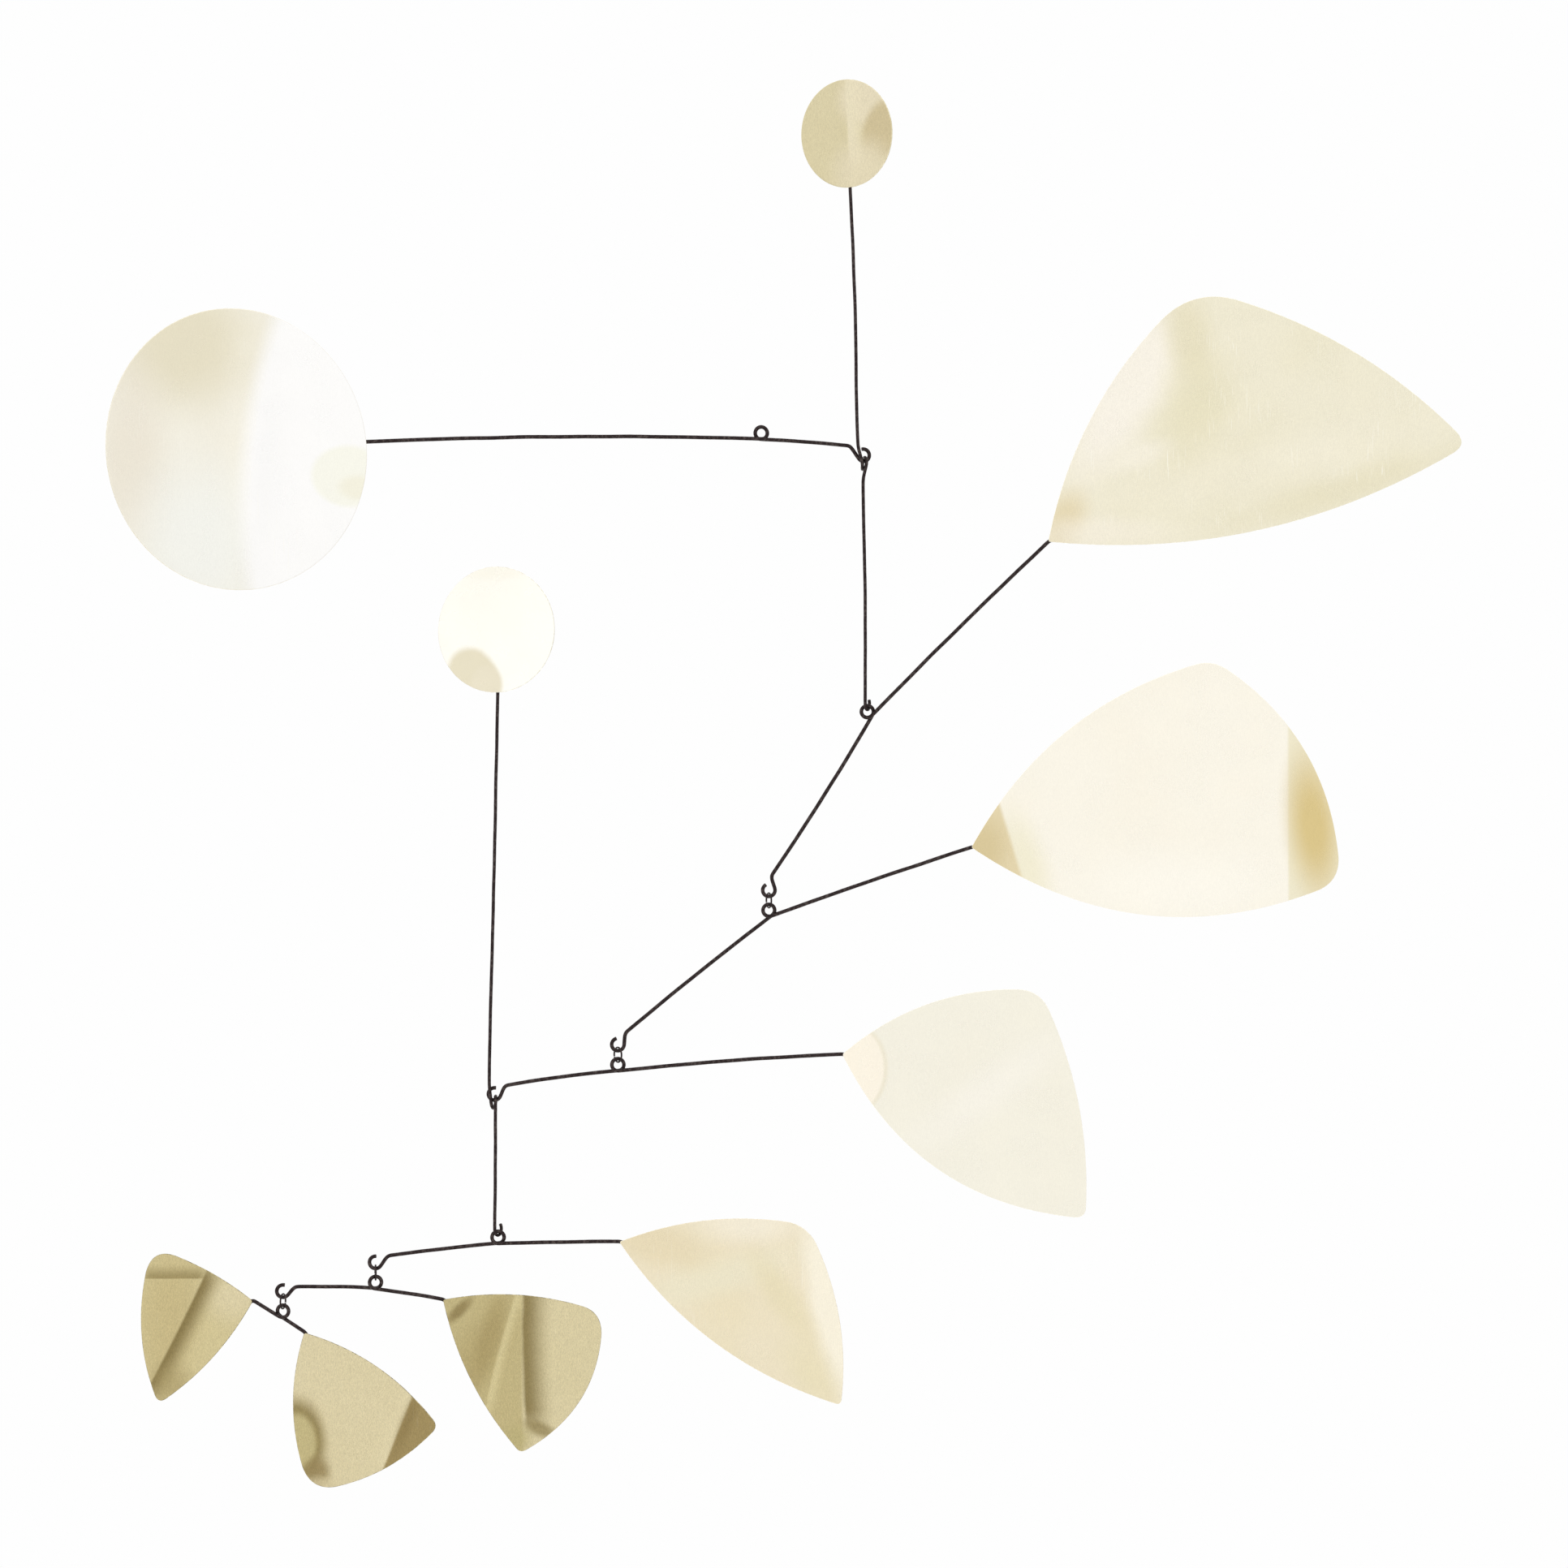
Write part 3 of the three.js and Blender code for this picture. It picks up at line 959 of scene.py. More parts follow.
def drawn_wire(path: list[Vector], diameter: float, seed: float, sides: int = 14) -> bmesh.types.BMesh:
    """Draw a round wire along a path, slightly uneven and rounded at both ends.

    Args:
        path: The evenly spaced points of its middle.
        diameter: Its diameter.
        seed: What makes its unevenness its own.
        sides: The number of sides of its section.

    Returns:
        The closed shape.
    """
    spacing = (path[1] - path[0]).length
    blunt = diameter * BLUNT_SHARE / spacing
    start_cap = path[0].lerp(path[1], blunt)
    end_cap = path[-1].lerp(path[-2], blunt)
    path = [path[0], start_cap, *path[1:-1], end_cap, path[-1]]
    side = (path[1] - path[0]).orthogonal().normalized()
    places = []
    for k, point in enumerate(path):
        ahead = (path[min(k + 1, len(path) - 1)] - path[max(k - 1, 0)]).normalized()
        side = (side - ahead * side.dot(ahead)).normalized()
        swell = 1 + SWELL * noise.noise(Vector((k * spacing / SWELL_LENGTH, seed, 0.0)))
        radius = diameter / 2 * (BLUNT_RADIUS if k in (0, len(path) - 1) else swell)
        turned = Matrix((side, ahead.cross(side), ahead)).transposed().to_4x4()
        places.append(Matrix.Translation(point) @ turned @ Matrix.Diagonal((radius, radius, 1.0, 1.0)))
    shape = bmesh.new()
    bmesh.ops.create_circle(shape, cap_ends=True, segments=sides, radius=1.0, matrix=places[0])
    ring = shape.edges[:]
    for before, after in zip(places, places[1:]):
        drawn = bmesh.ops.extrude_edge_only(shape, edges=ring)["geom"]
        verts = [item for item in drawn if isinstance(item, bmesh.types.BMVert)]
        bmesh.ops.transform(shape, matrix=after @ before.inverted(), verts=verts)
        fresh = set(verts)
        ring = [item for item in drawn if isinstance(item,
                                                     bmesh.types.BMEdge) and fresh.issuperset(item.verts)]
    bmesh.ops.holes_fill(shape, edges=ring, sides=sides)
    return shape


@dataclass(frozen=True)
class SplitRing:
    """A small ring of thin wire, bent round until its two ends meet."""

    name: str
    turn: float
    wire: float = 0.8
    split: float = 5.0
    split_at: float = 20.0
    sides: int = 12
    steps: int = 56

    def build(self, centre: Vector, radius: float, turn: float, place: Matrix, body: str,
              material: bpy.types.Material) -> bpy.types.Object:
        """Make the ring and put it on its body.

        Args:
            centre: The centre of the ring in the tier's frame.
            radius: Its radius to the middle of the wire.
            turn: The turn of its plane about the vertical, in the tier's frame.
            place: From the tier's frame to the mobile's.
            body: The body that it moves with.
            material: The finish of the wire.

        Returns:
            The ring.
        """
        shape = bmesh.new()
        upright = Matrix.Rotation(math.radians(90), 4, "X")
        start = Matrix.Rotation(math.radians(self.split_at), 4, "Y") @ Matrix.Translation((radius, 0, 0))
        bmesh.ops.create_circle(shape, cap_ends=True, segments=self.sides, radius=self.wire / 2,
                                matrix=start @ upright @ Matrix.Rotation(math.radians(90), 4, "X"))
        bmesh.ops.spin(shape, geom=shape.verts[:] + shape.edges[:] + shape.faces[:], cent=(0, 0, 0),
                       axis=(0, 1, 0), angle=math.radians(360 - self.split), steps=self.steps,
                       use_merge=False, use_duplicate=False)
        bmesh.ops.transform(shape, matrix=place @ placed(turn, centre), verts=shape.verts[:])
        made = finished(shape, f"{self.name}_ring", (material,), sharp_over=50.0)
        return fitted(made, body, Slot.WIRE, self.name)


@dataclass(frozen=True)
class SolderJoint:
    """The solder that joins the tail of a wire to the back of its plate."""

    plate: str
    width: float = 1.5
    height: float = 0.85
    inset: float = 0.6

    def build(self, start: Vector, end: Vector, depth: Vector, place: Matrix, body: str,
              material: bpy.types.Material) -> bpy.types.Object:
        """Make the joint round a wire's tail.

        Args:
            start: The point of the tail at the plate's edge.
            end: The end of the tail.
            depth: From the middle of the wire to the back of the plate.
            place: From the tier's frame to the mobile's.
            body: The body that it moves with.
            material: The finish of the solder.

        Returns:
            The joint.
        """
        shape = bmesh.new()
        bmesh.ops.create_uvsphere(shape, u_segments=36, v_segments=20, radius=1.0)
        for vert in shape.verts:
            vert.co *= 1 + SOLDER_LUMPS * noise.noise(vert.co * 1.6 + Vector((len(self.plate), end.x, end.z)))
        along = (end - start).normalized()
        outwards = depth.normalized()
        half = (end - start).length / 2
        turned = Matrix((along, outwards.cross(along), outwards)).transposed().to_4x4()
        sizes = Matrix.Diagonal((half, self.width, self.height, 1.0))
        middle = (start + end) / 2 + along * self.inset + depth * 0.5
        bmesh.ops.transform(shape, matrix=place @ Matrix.Translation(middle) @ turned @ sizes,
                            verts=shape.verts[:])
        made = finished(shape, f"{self.plate}_solder", (material,), sharp_over=80.0)
        return fitted(made, body, Slot.WIRE)


@dataclass(frozen=True)
class Tier:
    """One wire of the mobile with its plates, its eye, and its hook for the next tier."""

    body: str
    wire: float
    turn: float
    winding: Winding
    holds: tuple[Hold, ...]
    runs: tuple[Run, Run]
    hook: Hook | None = None
    ring: SplitRing | None = None
    upright: bool = False
    bends: Bends = Bends()

    def build(self, origin: Vector, hung: Vector | None, hung_wire: float, wire_finish: bpy.types.Material,
              solder_finish: bpy.types.Material) -> None:
        """Make every piece of the tier.

        Args:
            origin: The centre of the tier's eye, in the mobile's frame.
            hung: The centre of the next tier's eye, in the mobile's frame.
            hung_wire: The diameter of the next tier's wire.
            wire_finish: The finish of the wires and rings.
            solder_finish: The finish of the solder.
        """
        place = placed(self.turn, origin)
        tails = [self.place_plate(hold, place, solder_finish) for hold in self.holds]
        centre = self.hook_centre(place.inverted() @ hung, hung_wire) if hung else None
        path = settled(self.wire_path(tails, centre))
        shape = drawn_wire(path, self.wire, origin.z)
        bmesh.ops.transform(shape, matrix=place, verts=shape.verts[:])
        made = finished(shape, f"{self.body}_drawn", (wire_finish,), sharp_over=60.0)
        fitted(made, self.body, Slot.WIRE, f"{self.body}_wire")
        if self.ring and centre:
            top = centre.z - self.bends.hook + (self.wire + self.ring.wire) / 2 + self.bends.hang_gap
            ring_centre = Vector((centre.x, centre.y, top - self.bends.ring))
            self.ring.build(ring_centre, self.bends.ring, self.ring.turn - self.turn, place, self.body,
                            wire_finish)

    def hook_centre(self, hung: Vector, hung_wire: float) -> Vector:
        """Find the centre of the hook, over the eye that hangs from it, in the tier's frame.

        Args:
            hung: The centre of that eye.
            hung_wire: The diameter of its wire.

        Returns:
            The centre.
        """
        rise = self.bends.eye + self.bends.hook - (self.wire + hung_wire) / 2 - self.bends.hang_gap
        if self.ring:
            rise += 2 * self.bends.ring - self.ring.wire - self.bends.hang_gap
        return hung + Vector((0.0, 0.0, rise))

    def place_plate(self, hold: Hold, place: Matrix, solder: bpy.types.Material) -> tuple[Vector, Vector]:
        """Make a plate and its solder, and return the end of the wire's tail and the point that holds the
        plate.

        An upright mast is bent in the plane across the arms, so its plate is turned back to face the front.
        """
        plate, at = hold.plate, Vector(hold.at)
        turned = placed(hold.turn - self.turn if self.upright else hold.turn, Vector(), hold.nod)
        forwards = turned @ FORWARDS
        gap = self.wire / 2 + self.bends.plate_gap
        local = Matrix.Translation(at + forwards * (gap + plate.sheet / 2)) @ turned
        plate.build(place @ local, self.body)
        way = plate.outline.middle_way()
        inwards = turned @ Vector((way.x, 0.0, way.y))
        end = at + inwards * self.bends.tail
        SolderJoint(plate.name).build(at, end, forwards * gap, place, self.body, solder)
        return end, at

    def wire_path(self, tails: list[tuple[Vector, Vector]], centre: Vector | None) -> list[Vector]:
        """Return the path of the wire: from its first plate, round its eye, and on to its hook or second
        plate."""
        end, held = tails[0]
        wind = self.winding.value
        pitch = -self.bends.pitch if self.upright else self.bends.pitch
        if centre:
            ending = self.hook.points(centre, self.bends,
                                      Winding.ANTICLOCKWISE if self.upright else self.winding)
        else:
            ending = [tails[1][1], tails[1][0]]
        eye = Vector((0.0, 0.0, 0.0))
        arriving = heading_onto(eye, self.bends.eye, held, wind)
        leaving = heading_off(eye, self.bends.eye, ending[0], wind)
        bend = math.atan2(math.sin(leaving - arriving), math.cos(leaving - arriving))
        start = arriving - wind * math.pi / 2
        loop = turn_points(eye, self.bends.eye, start, start + wind * 2 * math.pi + bend, -pitch / 2,
                           pitch / 2)
        inner = self.runs[0].points(held, loop[0], self.turn)
        outer = self.runs[1].points(loop[-1], ending[0], self.turn + 5)
        corner = rounded_corner(outer[-2], ending[0], ending[1], self.bends) if centre else [ending[0]]
        near = self.bends.neck
        outer = [point for point in outer[1:-1] if (point - ending[0]).length > near]
        return [end, *inner, *loop[1:], *outer, *corner, *ending[1:]]


# ------------------------------------------------------------------------------------------ this mobile's pieces

ARM_WIRE = 1.7
MAST_WIRE = 1.5

# Each plate's patches are painted reflections and painted shade of the room, and its pale rim colours are
# painted edge highlights.
LARGE_DISC = Plate(
    "large_disc", Slot.PALE_BRASS, DiscOutline(58.8, (-58.6, -5.6)), sheet=0.5, bow=2.5,
    finish=BrassFinish(0xF5F2E6, rim=0xE9E2CC, clouding=0.2, cloud_tone=0xEDE8D8, scratching=0.3,
                       grain=0.03, painted_reflections=(
        PaintedReflection(Mark.SPOT, (0.28, 0.88), (26, 26), 0xE6DFC6, lean=30, strength=0.9, edge=0.6, ragged=0.3),
        PaintedReflection(Mark.SPOT, (0.10, 0.45), (12, 36), 0xECE5D6, strength=0.7, edge=0.7),
        PaintedReflection(Mark.SPOT, (0.36, 0.16), (22, 30), 0xF5F6F1, strength=0.9, edge=0.7),
        PaintedReflection(Mark.WEDGE, (0.52, 0.42), (5.0, 30), 0xFFFFFF, lean=3, bend=0.38),
        PaintedReflection(Mark.SPOT, (0.93, 0.42), (15, 13), 0xFAFAF0, edge=0.12),
        PaintedReflection(Mark.SPOT, (0.97, 0.38), (8, 5), 0xF6F4E4, edge=0.4),
    )),
    waves=(Wave((0.55, 0.5), (9, 60), 0.5, lean=4),),
)
UPPER_SMALL_DISC = Plate(
    "upper_small_disc", Slot.PALE_BRASS, DiscOutline(23.7, (0.3, 23.4)), sheet=0.6, bow=1, rings=18,
    finish=BrassFinish(0xDAD0AC, rim=0xF1EAD2, clouding=0.2, cloud_tone=0xD2C69C, scratching=0.05,
                       grain=0.1, painted_reflections=(
        PaintedReflection(Mark.SPOT, (0.72, 0.82), (12, 12), 0xE4DABE, lean=-30, edge=0.35),
        PaintedReflection(Mark.FOLD, (0.52, 0.62), (9, 24), 0xE6DDC0, lean=-3, edge=0.15),
        PaintedReflection(Mark.SPOT, (0.88, 0.50), (8, 13), 0xCFC19B, lean=12, edge=0.25),
        PaintedReflection(Mark.SPOT, (0.66, 0.16), (12, 12), 0xE3D9BC, edge=0.5, strength=0.8),
    )),
    waves=(Wave((0.52, 0.5), (5, 26), 0.35),),
)
LEAF_1 = Plate(
    "leaf_1", Slot.PALE_BRASS, LeafOutline(((64, 111), (184, 42)), (11, 10.5, 16), (1, 18, 7.5)),
    sheet=0.45, bow=4, twist=-3,
    finish=BrassFinish(0xEDE8D3, rim=0xFFFDF5, clouding=0.4, cloud_tone=0xE6E0C4, scratching=0.5, painted_reflections=(
        PaintedReflection(Mark.SPOT, (0.19, 0.64), (15, 42), 0xF6F1E6, lean=29, strength=0.95, edge=0.6, ragged=0.5),
        PaintedReflection(Mark.SPOT, (0.34, 0.84), (9, 20), 0xE4DDBF, lean=-12, strength=0.8, edge=0.7, ragged=0.4),
        PaintedReflection(Mark.SPOT, (0.36, 0.55), (13, 20), 0xE5DFC1, lean=30, strength=0.8, edge=0.8, ragged=0.4),
        PaintedReflection(Mark.SPOT, (0.22, 0.36), (12, 5), 0xF3EEDF, lean=-20, strength=0.7, edge=0.7, ragged=0.4),
        PaintedReflection(Mark.SPOT, (0.04, 0.10), (8, 12), 0xE2D5B2, lean=25, strength=0.9, edge=0.7),
        PaintedReflection(Mark.SPOT, (0.13, 0.05), (24, 6), 0xF4EEE0, strength=0.6, edge=0.8, ragged=0.6),
        PaintedReflection(Mark.SPOT, (0.60, 0.34), (9, 60), 0xF1ECDA, lean=76, strength=0.5, edge=0.9, ragged=0.8),
        PaintedReflection(Mark.SPOT, (0.72, 0.22), (6, 44), 0xE3DCBD, lean=72, strength=0.5, edge=0.8, ragged=0.8),
    )),
    waves=(Wave((0.25, 0.5), (12, 50), 0.5, lean=29), Wave((0.6, 0.3), (70, 10), 0.35)),
)
LEAF_2 = Plate(
    "leaf_2", Slot.PALE_BRASS, LeafOutline(((109.5, 84), (167.5, -15.5)), (15, 16, 23), (1, 7, 10)),
    sheet=0.42, bow=-4, twist=2,
    finish=BrassFinish(0xF8F4E8, rim=0xFFFDF5, clouding=0.25, cloud_tone=0xF6EFDF, scratching=0.1,
                       grain=0.03, painted_reflections=(
        PaintedReflection(Mark.SPOT, (0.55, 0.12), (46, 14), 0xFBF8EE, strength=0.8, edge=0.8, ragged=0.4),
        PaintedReflection(Mark.SPOT, (0.14, 0.20), (9, 22), 0xEFEAD0, lean=-16, strength=0.8, edge=0.7),
        PaintedReflection(Mark.WEDGE, (0.105, 0.30), (1.2, 30), 0xE2D4AF, lean=163),
        PaintedReflection(Mark.SPOT, (0.03, 0.27), (9, 12), 0xD3C294, strength=0.7, edge=0.7),
        PaintedReflection(Mark.WEDGE, (0.862, 0.5), (0.9, 30), 0xEDE7CE),
        PaintedReflection(Mark.SPOT, (0.93, 0.36), (10, 27), 0xD9C58D, lean=-6, edge=0.7),
    )),
    waves=(Wave((0.88, 0.4), (8, 60), -0.5), Wave((0.1, 0.3), (7, 30), 0.3, lean=-17)),
)
LEAF_3 = Plate(
    "leaf_3", Slot.PALE_BRASS, LeafOutline(((87, 28.5), (107, -71.5)), (9.5, 7, 18.5), (1, 9, 4.5)),
    sheet=0.48, bow=3, twist=2,
    finish=BrassFinish(0xF2EFE2, rim=0xFFFDF5, clouding=0.2, cloud_tone=0xF0EBDB, scratching=0.1,
                       grain=0.03, painted_reflections=(
        PaintedReflection(Mark.SPOT, (0.6, 0.55), (34, 8), 0xF6F3EA, lean=-35, strength=0.6, edge=0.9, ragged=0.5),
        PaintedReflection(Mark.SPOT, (0.02, 0.64), (17.5, 21), 0xEDE7D4, lean=8, edge=0.07),
        PaintedReflection(Mark.SPOT, (0.0, 0.64), (18, 21), 0xFAF3E4, lean=8, edge=0.05),
    )),
    waves=(Wave((0.12, 0.6), (6, 30), 0.3),),
)
LOWER_SMALL_DISC = Plate(
    "lower_small_disc", Slot.PALE_BRASS, DiscOutline(27.9, (-0.5, 27.6)), sheet=0.6, bow=1, rings=18,
    finish=BrassFinish(0xFBFAF3, rim=0xE6DFC8, clouding=0.1, cloud_tone=0xF6F3E6, scratching=0.0,
                       grain=0.01, painted_reflections=(
        PaintedReflection(Mark.SPOT, (0.30, 0.13), (11, 13), 0xE2DBC3, lean=-28, edge=0.16, ragged=0.3),
        PaintedReflection(Mark.SPOT, (0.42, 0.06), (7, 9), 0xE4DDC7, edge=0.2),
        PaintedReflection(Mark.SPOT, (0.5, 0.95), (12, 3), 0xF8F5EA, strength=0.7, edge=0.6),
    )),
    waves=(Wave((0.35, 0.3), (8, 14), 0.3, lean=-30),),
)
LEAF_4 = Plate(
    "leaf_4", Slot.PALE_BRASS, LeafOutline(((83.5, 8.5), (98.5, -70.5)), (6, 6.5, 11), (1, 9, 2.5)),
    sheet=0.55, bow=3, twist=-2,
    finish=BrassFinish(0xE9DFC5, rim=0xFBF6E8, clouding=0.4, cloud_tone=0xE6DBB8, painted_reflections=(
        PaintedReflection(Mark.SPOT, (0.16, 0.86), (20, 9), 0xE3D6B5, lean=15, strength=0.8, edge=0.6, ragged=0.4),
        PaintedReflection(Mark.SPOT, (0.40, 0.66), (7, 34), 0xE9E3CA, lean=72, strength=0.8, edge=0.8, ragged=0.6),
        PaintedReflection(Mark.SPOT, (0.58, 0.98), (20, 8), 0xF1EAD8, strength=0.8, edge=0.7, ragged=0.3),
        PaintedReflection(Mark.SPOT, (0.95, 0.52), (9, 42), 0xF5EFDD, lean=-12, edge=0.45, ragged=0.4),
        PaintedReflection(Mark.SPOT, (0.74, 0.56), (6, 20), 0xE2D8B4, lean=-35, strength=0.6, edge=0.8, ragged=0.4),
        PaintedReflection(Mark.SPOT, (0.86, 0.16), (8, 16), 0xE3DAB7, lean=-30, strength=0.6, edge=0.8),
    )),
    waves=(Wave((0.86, 0.5), (7, 50), 0.5, lean=-14), Wave((0.4, 0.65), (40, 8), 0.4, lean=18)),
)
LEAF_5 = Plate(
    "leaf_5", Slot.DEEP_BRASS, LeafOutline(((71, -7), (34.5, -69)), (5, 11.5, 5), (1, 8.5, 2.5)),
    sheet=0.58, bow=-2.5, twist=1.5, rings=24,
    finish=BrassFinish(0xD6CBA5, rim=0x6B5F42, clouding=0.15, cloud_tone=0xC9BD90, scratching=0.05,
                       grain=0.17, grain_size=0.3, painted_reflections=(
        PaintedReflection(Mark.WEDGE, (0.50, 0.5), (1.2, 30), 0xBFB284, lean=180),
        PaintedReflection(Mark.SPOT, (0.22, 0.62), (9, 20), 0xB3A475, lean=28, strength=0.8, edge=0.7),
        PaintedReflection(Mark.FOLD, (0.365, 0.66), (5, 36), 0xD2C698, lean=15, strength=0.9, edge=0.3, bend=0.35),
        PaintedReflection(Mark.SPOT, (0.29, 0.72), (4.5, 20), 0xA89869, lean=17, strength=0.75, edge=0.7),
        PaintedReflection(Mark.FOLD, (0.515, 0.62), (13, 40), 0x8A7B50, lean=-1, strength=0.95, edge=0.16, bend=0.1,
             ragged=0.1),
        PaintedReflection(Mark.SPOT, (0.61, 0.14), (7, 3), 0x94855A, lean=25, strength=0.8, edge=0.6),
        PaintedReflection(Mark.SPOT, (0.10, 0.90), (7, 2.4), 0x8F7F54, lean=-44, strength=0.85, edge=0.6),
        PaintedReflection(Mark.SPOT, (0.46, 0.08), (6, 6), 0xB9AE7D, strength=0.8, edge=0.6),
    )),
    waves=(Wave((0.52, 0.55), (5, 34), -0.9), Wave((0.38, 0.7), (3.5, 26), 0.5, lean=14)),
)
LEAF_6 = Plate(
    "leaf_6", Slot.DEEP_BRASS, LeafOutline(((61, -40), (3, -70)), (6, 6, 6.5), (1, 3.5, 11)),
    sheet=0.6, bow=2, twist=-1.5, rings=24,
    finish=BrassFinish(0xD5CAA6, rim=0x6B5F42, clouding=0.15, cloud_tone=0xC9BD92, scratching=0.05,
                       grain=0.17, grain_size=0.3, painted_reflections=(
        PaintedReflection(Mark.SPOT, (0.02, 0.45), (9, 8), 0xCBBD96, strength=0.7, edge=0.8),
        PaintedReflection(Mark.SPOT, (0.02, 0.30), (13, 17.5), 0x8E7F52, lean=-6, edge=0.3),
        PaintedReflection(Mark.SPOT, (0.03, 0.29), (8.5, 12.5), 0xBFB384, lean=-4, edge=0.22),
        PaintedReflection(Mark.SPOT, (0.16, 0.08), (6, 7), 0x95845A, lean=20, strength=0.9, edge=0.5),
        PaintedReflection(Mark.WEDGE, (0.735, 0.36), (0.7, 30), 0x9C8A5E, lean=22),
        PaintedReflection(Mark.SPOT, (0.80, 0.44), (2.5, 12), 0x8A784E, lean=22, strength=0.6, edge=0.8),
        PaintedReflection(Mark.SPOT, (0.20, 0.0), (8, 4), 0xCFC39D, strength=0.7, edge=0.6),
    )),
    waves=(Wave((0.74, 0.36), (4, 30), 0.6, lean=22), Wave((0.16, 0.32), (4, 16), -0.6)),
)
LEAF_7 = Plate(
    "leaf_7", Slot.DEEP_BRASS, LeafOutline(((-45.5, 23), (-44, -47)), (2.5, 6.5, 4), (1, 10.5, 4.5)),
    sheet=0.6, bow=-2, twist=1.5, rings=24,
    finish=BrassFinish(0xCCC094, rim=0x6B5F42, clouding=0.15, cloud_tone=0xC4B788, scratching=0.05,
                       grain=0.17, grain_size=0.3, painted_reflections=(
        PaintedReflection(Mark.SPOT, (0.24, 0.55), (12, 30), 0xC1B284, lean=10, strength=0.8, edge=0.8),
        PaintedReflection(Mark.SPOT, (0.86, 0.72), (12, 10), 0xD8CDAA, strength=0.8, edge=0.8),
        PaintedReflection(Mark.FOLD, (0.30, 0.84), (7, 17), 0x8F8054, lean=-91, strength=0.75, edge=0.1),
        PaintedReflection(Mark.FOLD, (0.34, 0.47), (10, 40), 0x85764C, lean=27, strength=0.95, edge=0.14, bend=-0.08),
        PaintedReflection(Mark.SPOT, (0.28, 0.10), (8, 9), 0xA19264, strength=0.6, edge=0.8),
    )),
    waves=(Wave((0.36, 0.45), (4.5, 34), -0.9, lean=26), Wave((0.3, 0.86), (20, 4), 0.5)),
)

TIERS = (
    Tier("top_arm", ARM_WIRE, 21, Winding.ANTICLOCKWISE, (Hold(LARGE_DISC, (-180, 0, -9), turn=8),),
         (Run(1.6), Run(0.3)), Hook((-6.4, 4), 108)),
    Tier("upper_mast", MAST_WIRE, 98, Winding.ANTICLOCKWISE,
         (Hold(UPPER_SMALL_DISC, (-1.6, 6.3, 122.2), turn=-33, nod=4),),
         (Run(0.8, (Kink(0.9, (0.2, 1.6, 0), 0.35),)), Run(0.4, (Kink(0.05, (0.2, 1.5, 0), 0.4),))),
         Hook((-2.8, 5), 35, turn=-29), upright=True),
    Tier("arm_1", ARM_WIRE, -4, Winding.CLOCKWISE, (Hold(LEAF_1, (80.1, 0, 75)),),
         (Run(0.6), Run(-0.8)), Hook((0.9, 6.1), 116), SplitRing("link_1", 110)),
    Tier("arm_2", ARM_WIRE, 5, Winding.CLOCKWISE, (Hold(LEAF_2, (90.4, 0, 27.8)),),
         (Run(0.4), Run(0.5)), Hook((3.1, 5), 101), SplitRing("link_2", 122)),
    Tier("arm_3", ARM_WIRE, -3, Winding.CLOCKWISE, (Hold(LEAF_3, (99.5, 0, 5)),),
         (Run(0.8), Run(0.6)), Hook((4.5, 3.7), 76)),
    Tier("lower_mast", MAST_WIRE, 82, Winding.ANTICLOCKWISE,
         (Hold(LOWER_SMALL_DISC, (-1.6, -1.8, 181.8), turn=-19, nod=-2),),
         (Run(1.2, (Kink(0.9, (-0.1, 0.9, 0), 0.3),)), Run(0.5)), Hook((-2.8, 5), 45, turn=-20),
         upright=True),
    Tier("arm_4", ARM_WIRE, -6, Winding.CLOCKWISE, (Hold(LEAF_4, (54.5, 0, -1.3)),),
         (Run(0.2), Run(0.3)), Hook((5.4, 3), 83), SplitRing("link_3", 98)),
    Tier("arm_5", ARM_WIRE, 6, Winding.CLOCKWISE, (Hold(LEAF_5, (29.9, 0, -7.9)),),
         (Run(0.2), Run(0.4)), Hook((5.1, 1.9), 72), SplitRing("link_4", 76)),
    Tier("bottom_arm", ARM_WIRE, -7, Winding.ANTICLOCKWISE,
         (Hold(LEAF_7, (-13.3, 0, 4.5)), Hold(LEAF_6, (10, 0, -9.2))), (Run(), Run())),
)


@dataclass(frozen=True)
class Mobile:
    """The whole mobile, tier under tier."""

    tiers: tuple[Tier, ...]

    def build(self, joints: list[dict]) -> None:
        """Make every tier where the frame's joints hang it.

        Args:
            joints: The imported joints, whose places are the centres of the eyes.
        """
        hung_at = {joint["child"]: Vector(joint["pos_m"]) / MM for joint in joints}
        wire = WireFinish().material()
        solder = SolderFinish().material()
        for tier, below in zip(self.tiers, (*self.tiers[1:], None)):
            origin = hung_at.get(tier.body, Vector((0.0, 0.0, 0.0)))
            hung = hung_at[below.body] if below else None
            tier.build(origin, hung, below.wire if below else 0.0, wire, solder)


# ----------------------------------------------------------------------------------------------------- studio


@dataclass(frozen=True)
class Viewpoint:
    """The camera, level and straight in front of the mobile."""

    aside: float = 10.0
    below: float = 154.3
    away: float = 1912.4
    lens: float = 99.9

    def build(self) -> bpy.types.Object:
        """Make the camera and look through it."""
        data = bpy.data.cameras.new("viewpoint")
        data.lens = self.lens
        data.sensor_width = 36.0
        made = bpy.data.objects.new("viewpoint", data)
        made.location = Vector((self.aside, -self.away, -self.below)) * MM
        made.rotation_euler = (math.radians(90), 0.0, 0.0)
        bpy.context.scene.collection.objects.link(made)
        bpy.context.scene.camera = made
        return made


@dataclass(frozen=True)
class Panel:
    """A soft light of the room: which way it lies, how wide it is, and how bright it is."""

    way: tuple[float, float, float]
    inner: float
    outer: float
    light: float


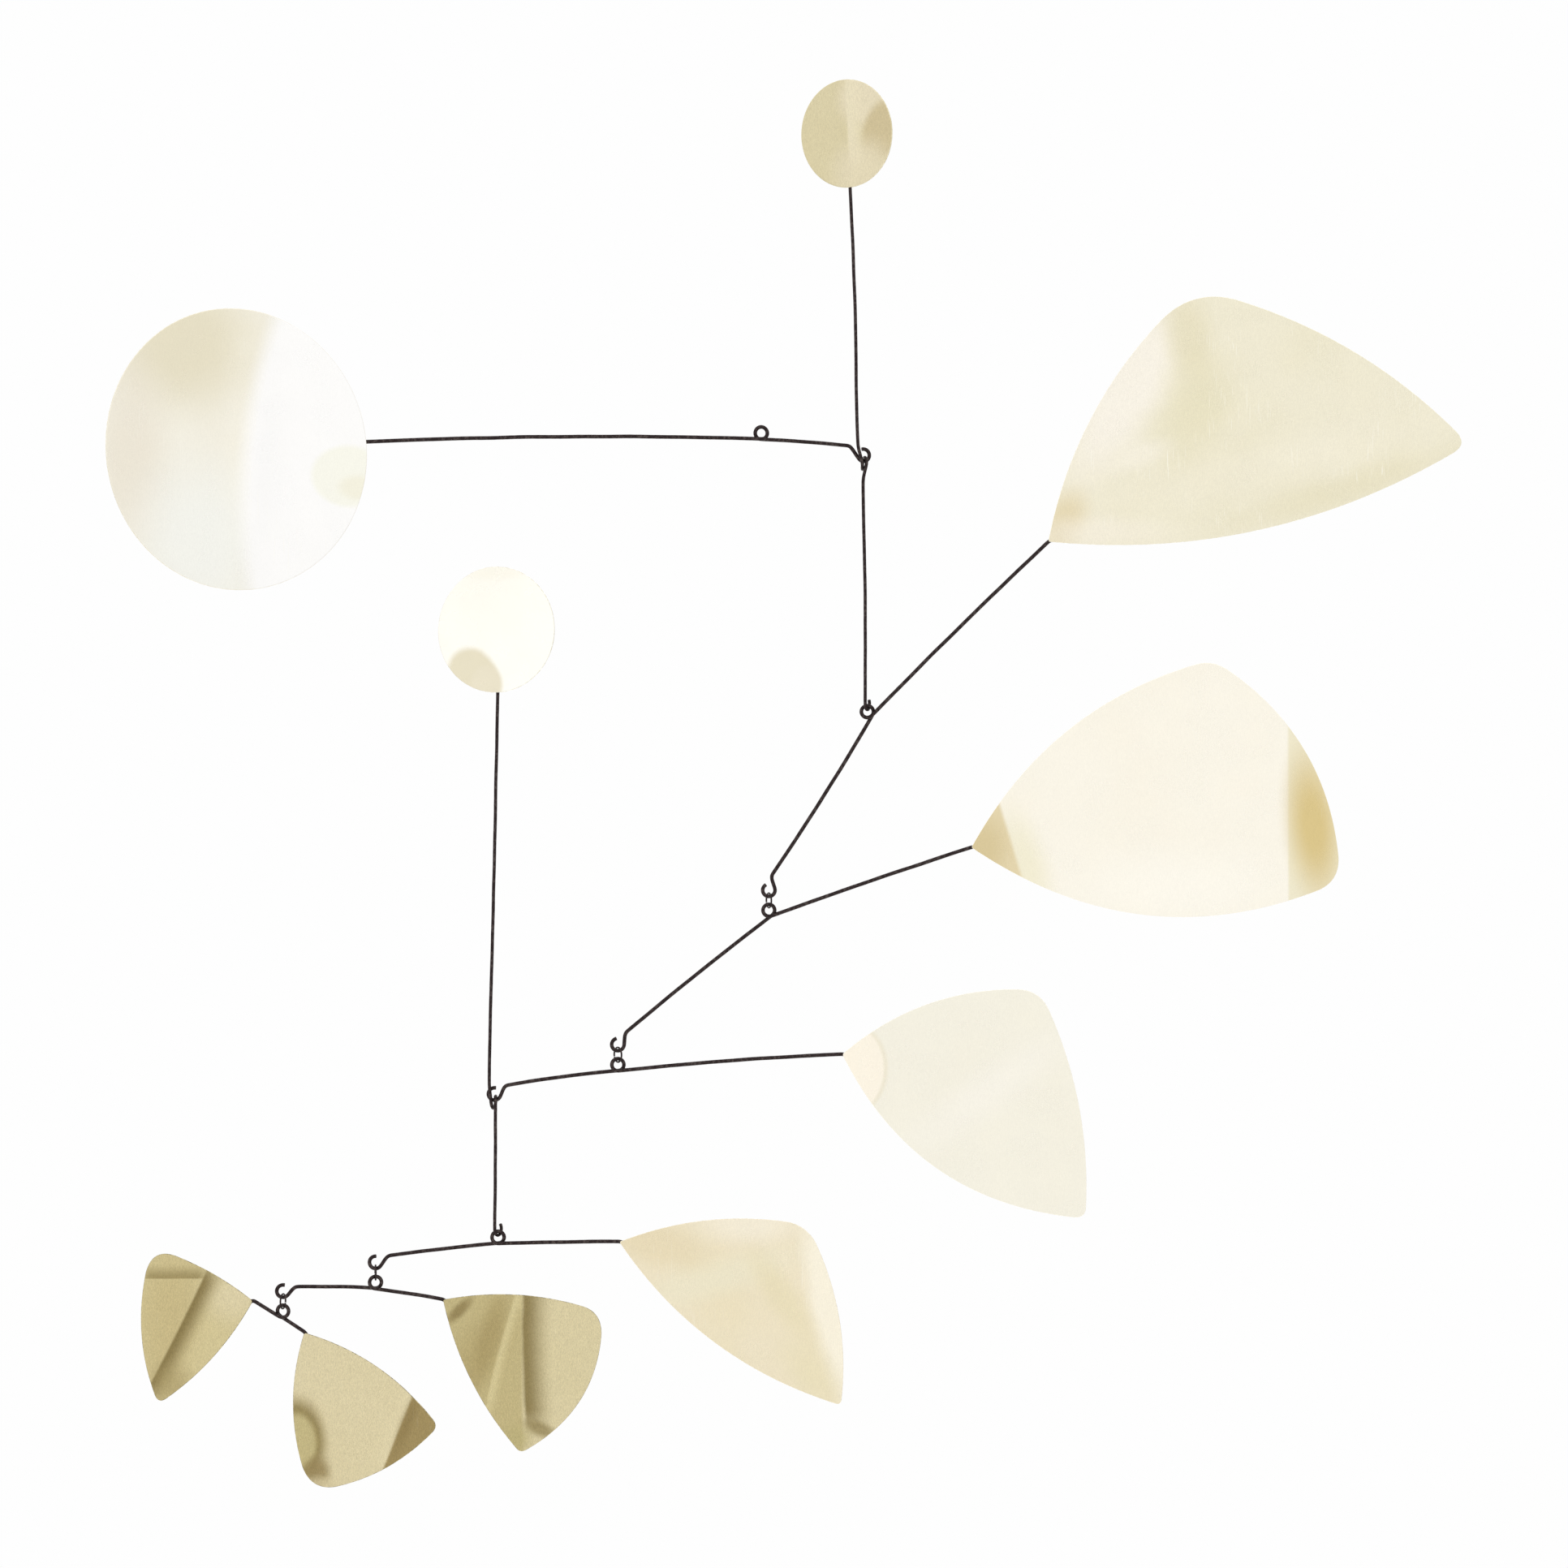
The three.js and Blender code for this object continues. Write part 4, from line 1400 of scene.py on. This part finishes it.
@dataclass(frozen=True)
class Studio:
    """A white room with broad soft lights, and a pale floor under the mobile."""

    ambient: float = 0.84
    panels: tuple[Panel, ...] = (
        Panel((0.0, -1.0, 0.05), 34, 85, 0.17),
        Panel((0.2, -0.2, 1.0), 25, 70, 0.3),
        Panel((-0.85, -0.5, 0.1), 20, 50, 0.11),
        Panel((-0.9, 0.3, 0.25), 14, 40, 0.22),
        Panel((-0.1, 1.0, 0.15), 24, 58, 0.22),
        Panel((0.5, 0.8, -0.3), 10, 40, -0.3),
        Panel((-0.7, -0.1, -0.6), 10, 45, -0.25),
    )
    floor_drop: float = 330.0
    floor_radius: float = 1600.0

    def build(self) -> None:
        """Make the room's light and the floor."""
        self.light_room()
        self.lay_floor()
        scene = bpy.context.scene
        scene.view_settings.view_transform = "Standard"
        scene.view_settings.look = "None"
        LOG.info("studio with %d panels", len(self.panels))

    def light_room(self) -> None:
        """Light the room from its panels. What the camera sees of the room itself is plain white."""
        world = bpy.data.worlds.new("white_room")
        bpy.context.scene.world = world
        world.use_nodes = True
        tree = world.node_tree
        tree.nodes.clear()

        def sum_of(operation: str, first: object, second: object) -> bpy.types.NodeSocket:
            node = tree.nodes.new("ShaderNodeMath")
            node.operation = operation
            for socket, value in zip(node.inputs, (first, second)):
                if isinstance(value, bpy.types.NodeSocket):
                    tree.links.new(value, socket)
                else:
                    socket.default_value = value
            return node.outputs[0]

        way = tree.nodes.new("ShaderNodeTexCoord").outputs["Generated"]
        light = self.ambient
        for panel in self.panels:
            facing = tree.nodes.new("ShaderNodeVectorMath")
            facing.operation = "DOT_PRODUCT"
            tree.links.new(way, facing.inputs[0])
            facing.inputs[1].default_value = Vector(panel.way).normalized()
            spread = tree.nodes.new("ShaderNodeMapRange")
            spread.interpolation_type = "SMOOTHSTEP"
            tree.links.new(facing.outputs["Value"], spread.inputs[0])
            limits = (math.cos(math.radians(panel.outer)), math.cos(math.radians(panel.inner)), 0.0,
                      panel.light)
            for socket, value in zip(spread.inputs[1:5], limits):
                socket.default_value = value
            light = sum_of("ADD", light, spread.outputs[0])
        path = tree.nodes.new("ShaderNodeLightPath")
        room = tree.nodes.new("ShaderNodeBackground")
        room.inputs["Color"].default_value = linear(0xFFFEFC)
        tree.links.new(light, room.inputs["Strength"])
        seen = tree.nodes.new("ShaderNodeBackground")
        seen.inputs["Color"].default_value = linear(0xFEFEFE)
        chosen = tree.nodes.new("ShaderNodeMixShader")
        tree.links.new(path.outputs["Is Camera Ray"], chosen.inputs[0])
        tree.links.new(room.outputs[0], chosen.inputs[1])
        tree.links.new(seen.outputs[0], chosen.inputs[2])
        out = tree.nodes.new("ShaderNodeOutputWorld")
        tree.links.new(chosen.outputs[0], out.inputs["Surface"])

    def lay_floor(self) -> None:
        """Lay a round pale floor well below the mobile."""
        low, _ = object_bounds()
        shape = bmesh.new()
        bmesh.ops.create_circle(shape, cap_ends=True, segments=96, radius=self.floor_radius)
        bmesh.ops.translate(shape, vec=(0.0, 0.0, low.z / MM - self.floor_drop), verts=shape.verts[:])
        sheet = NodeSheet("pale_floor")
        surface = sheet.node("ShaderNodeBsdfPrincipled")
        tint = sheet.blend(sheet.ramp(sheet.cloud(300.0, 2.0), 0.3, 0.7), linear(0xFBFAF8), linear(0xF7F6F4))
        sheet.feed(surface.inputs["Base Color"], tint)
        surface.inputs["Roughness"].default_value = 0.7
        out = sheet.node("ShaderNodeOutputMaterial")
        sheet.feed(out.inputs["Surface"], surface.outputs[0])
        finished(shape, "floor", (sheet.material,), sharp_over=30.0)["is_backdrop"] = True


def main() -> None:
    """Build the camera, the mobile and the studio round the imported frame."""
    logging.basicConfig(level=logging.INFO, format="%(name)s: %(message)s")
    Viewpoint().build()
    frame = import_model()
    Mobile(TIERS).build(frame["joints"])
    Studio().build()


if __name__ == "__main__":
    main()
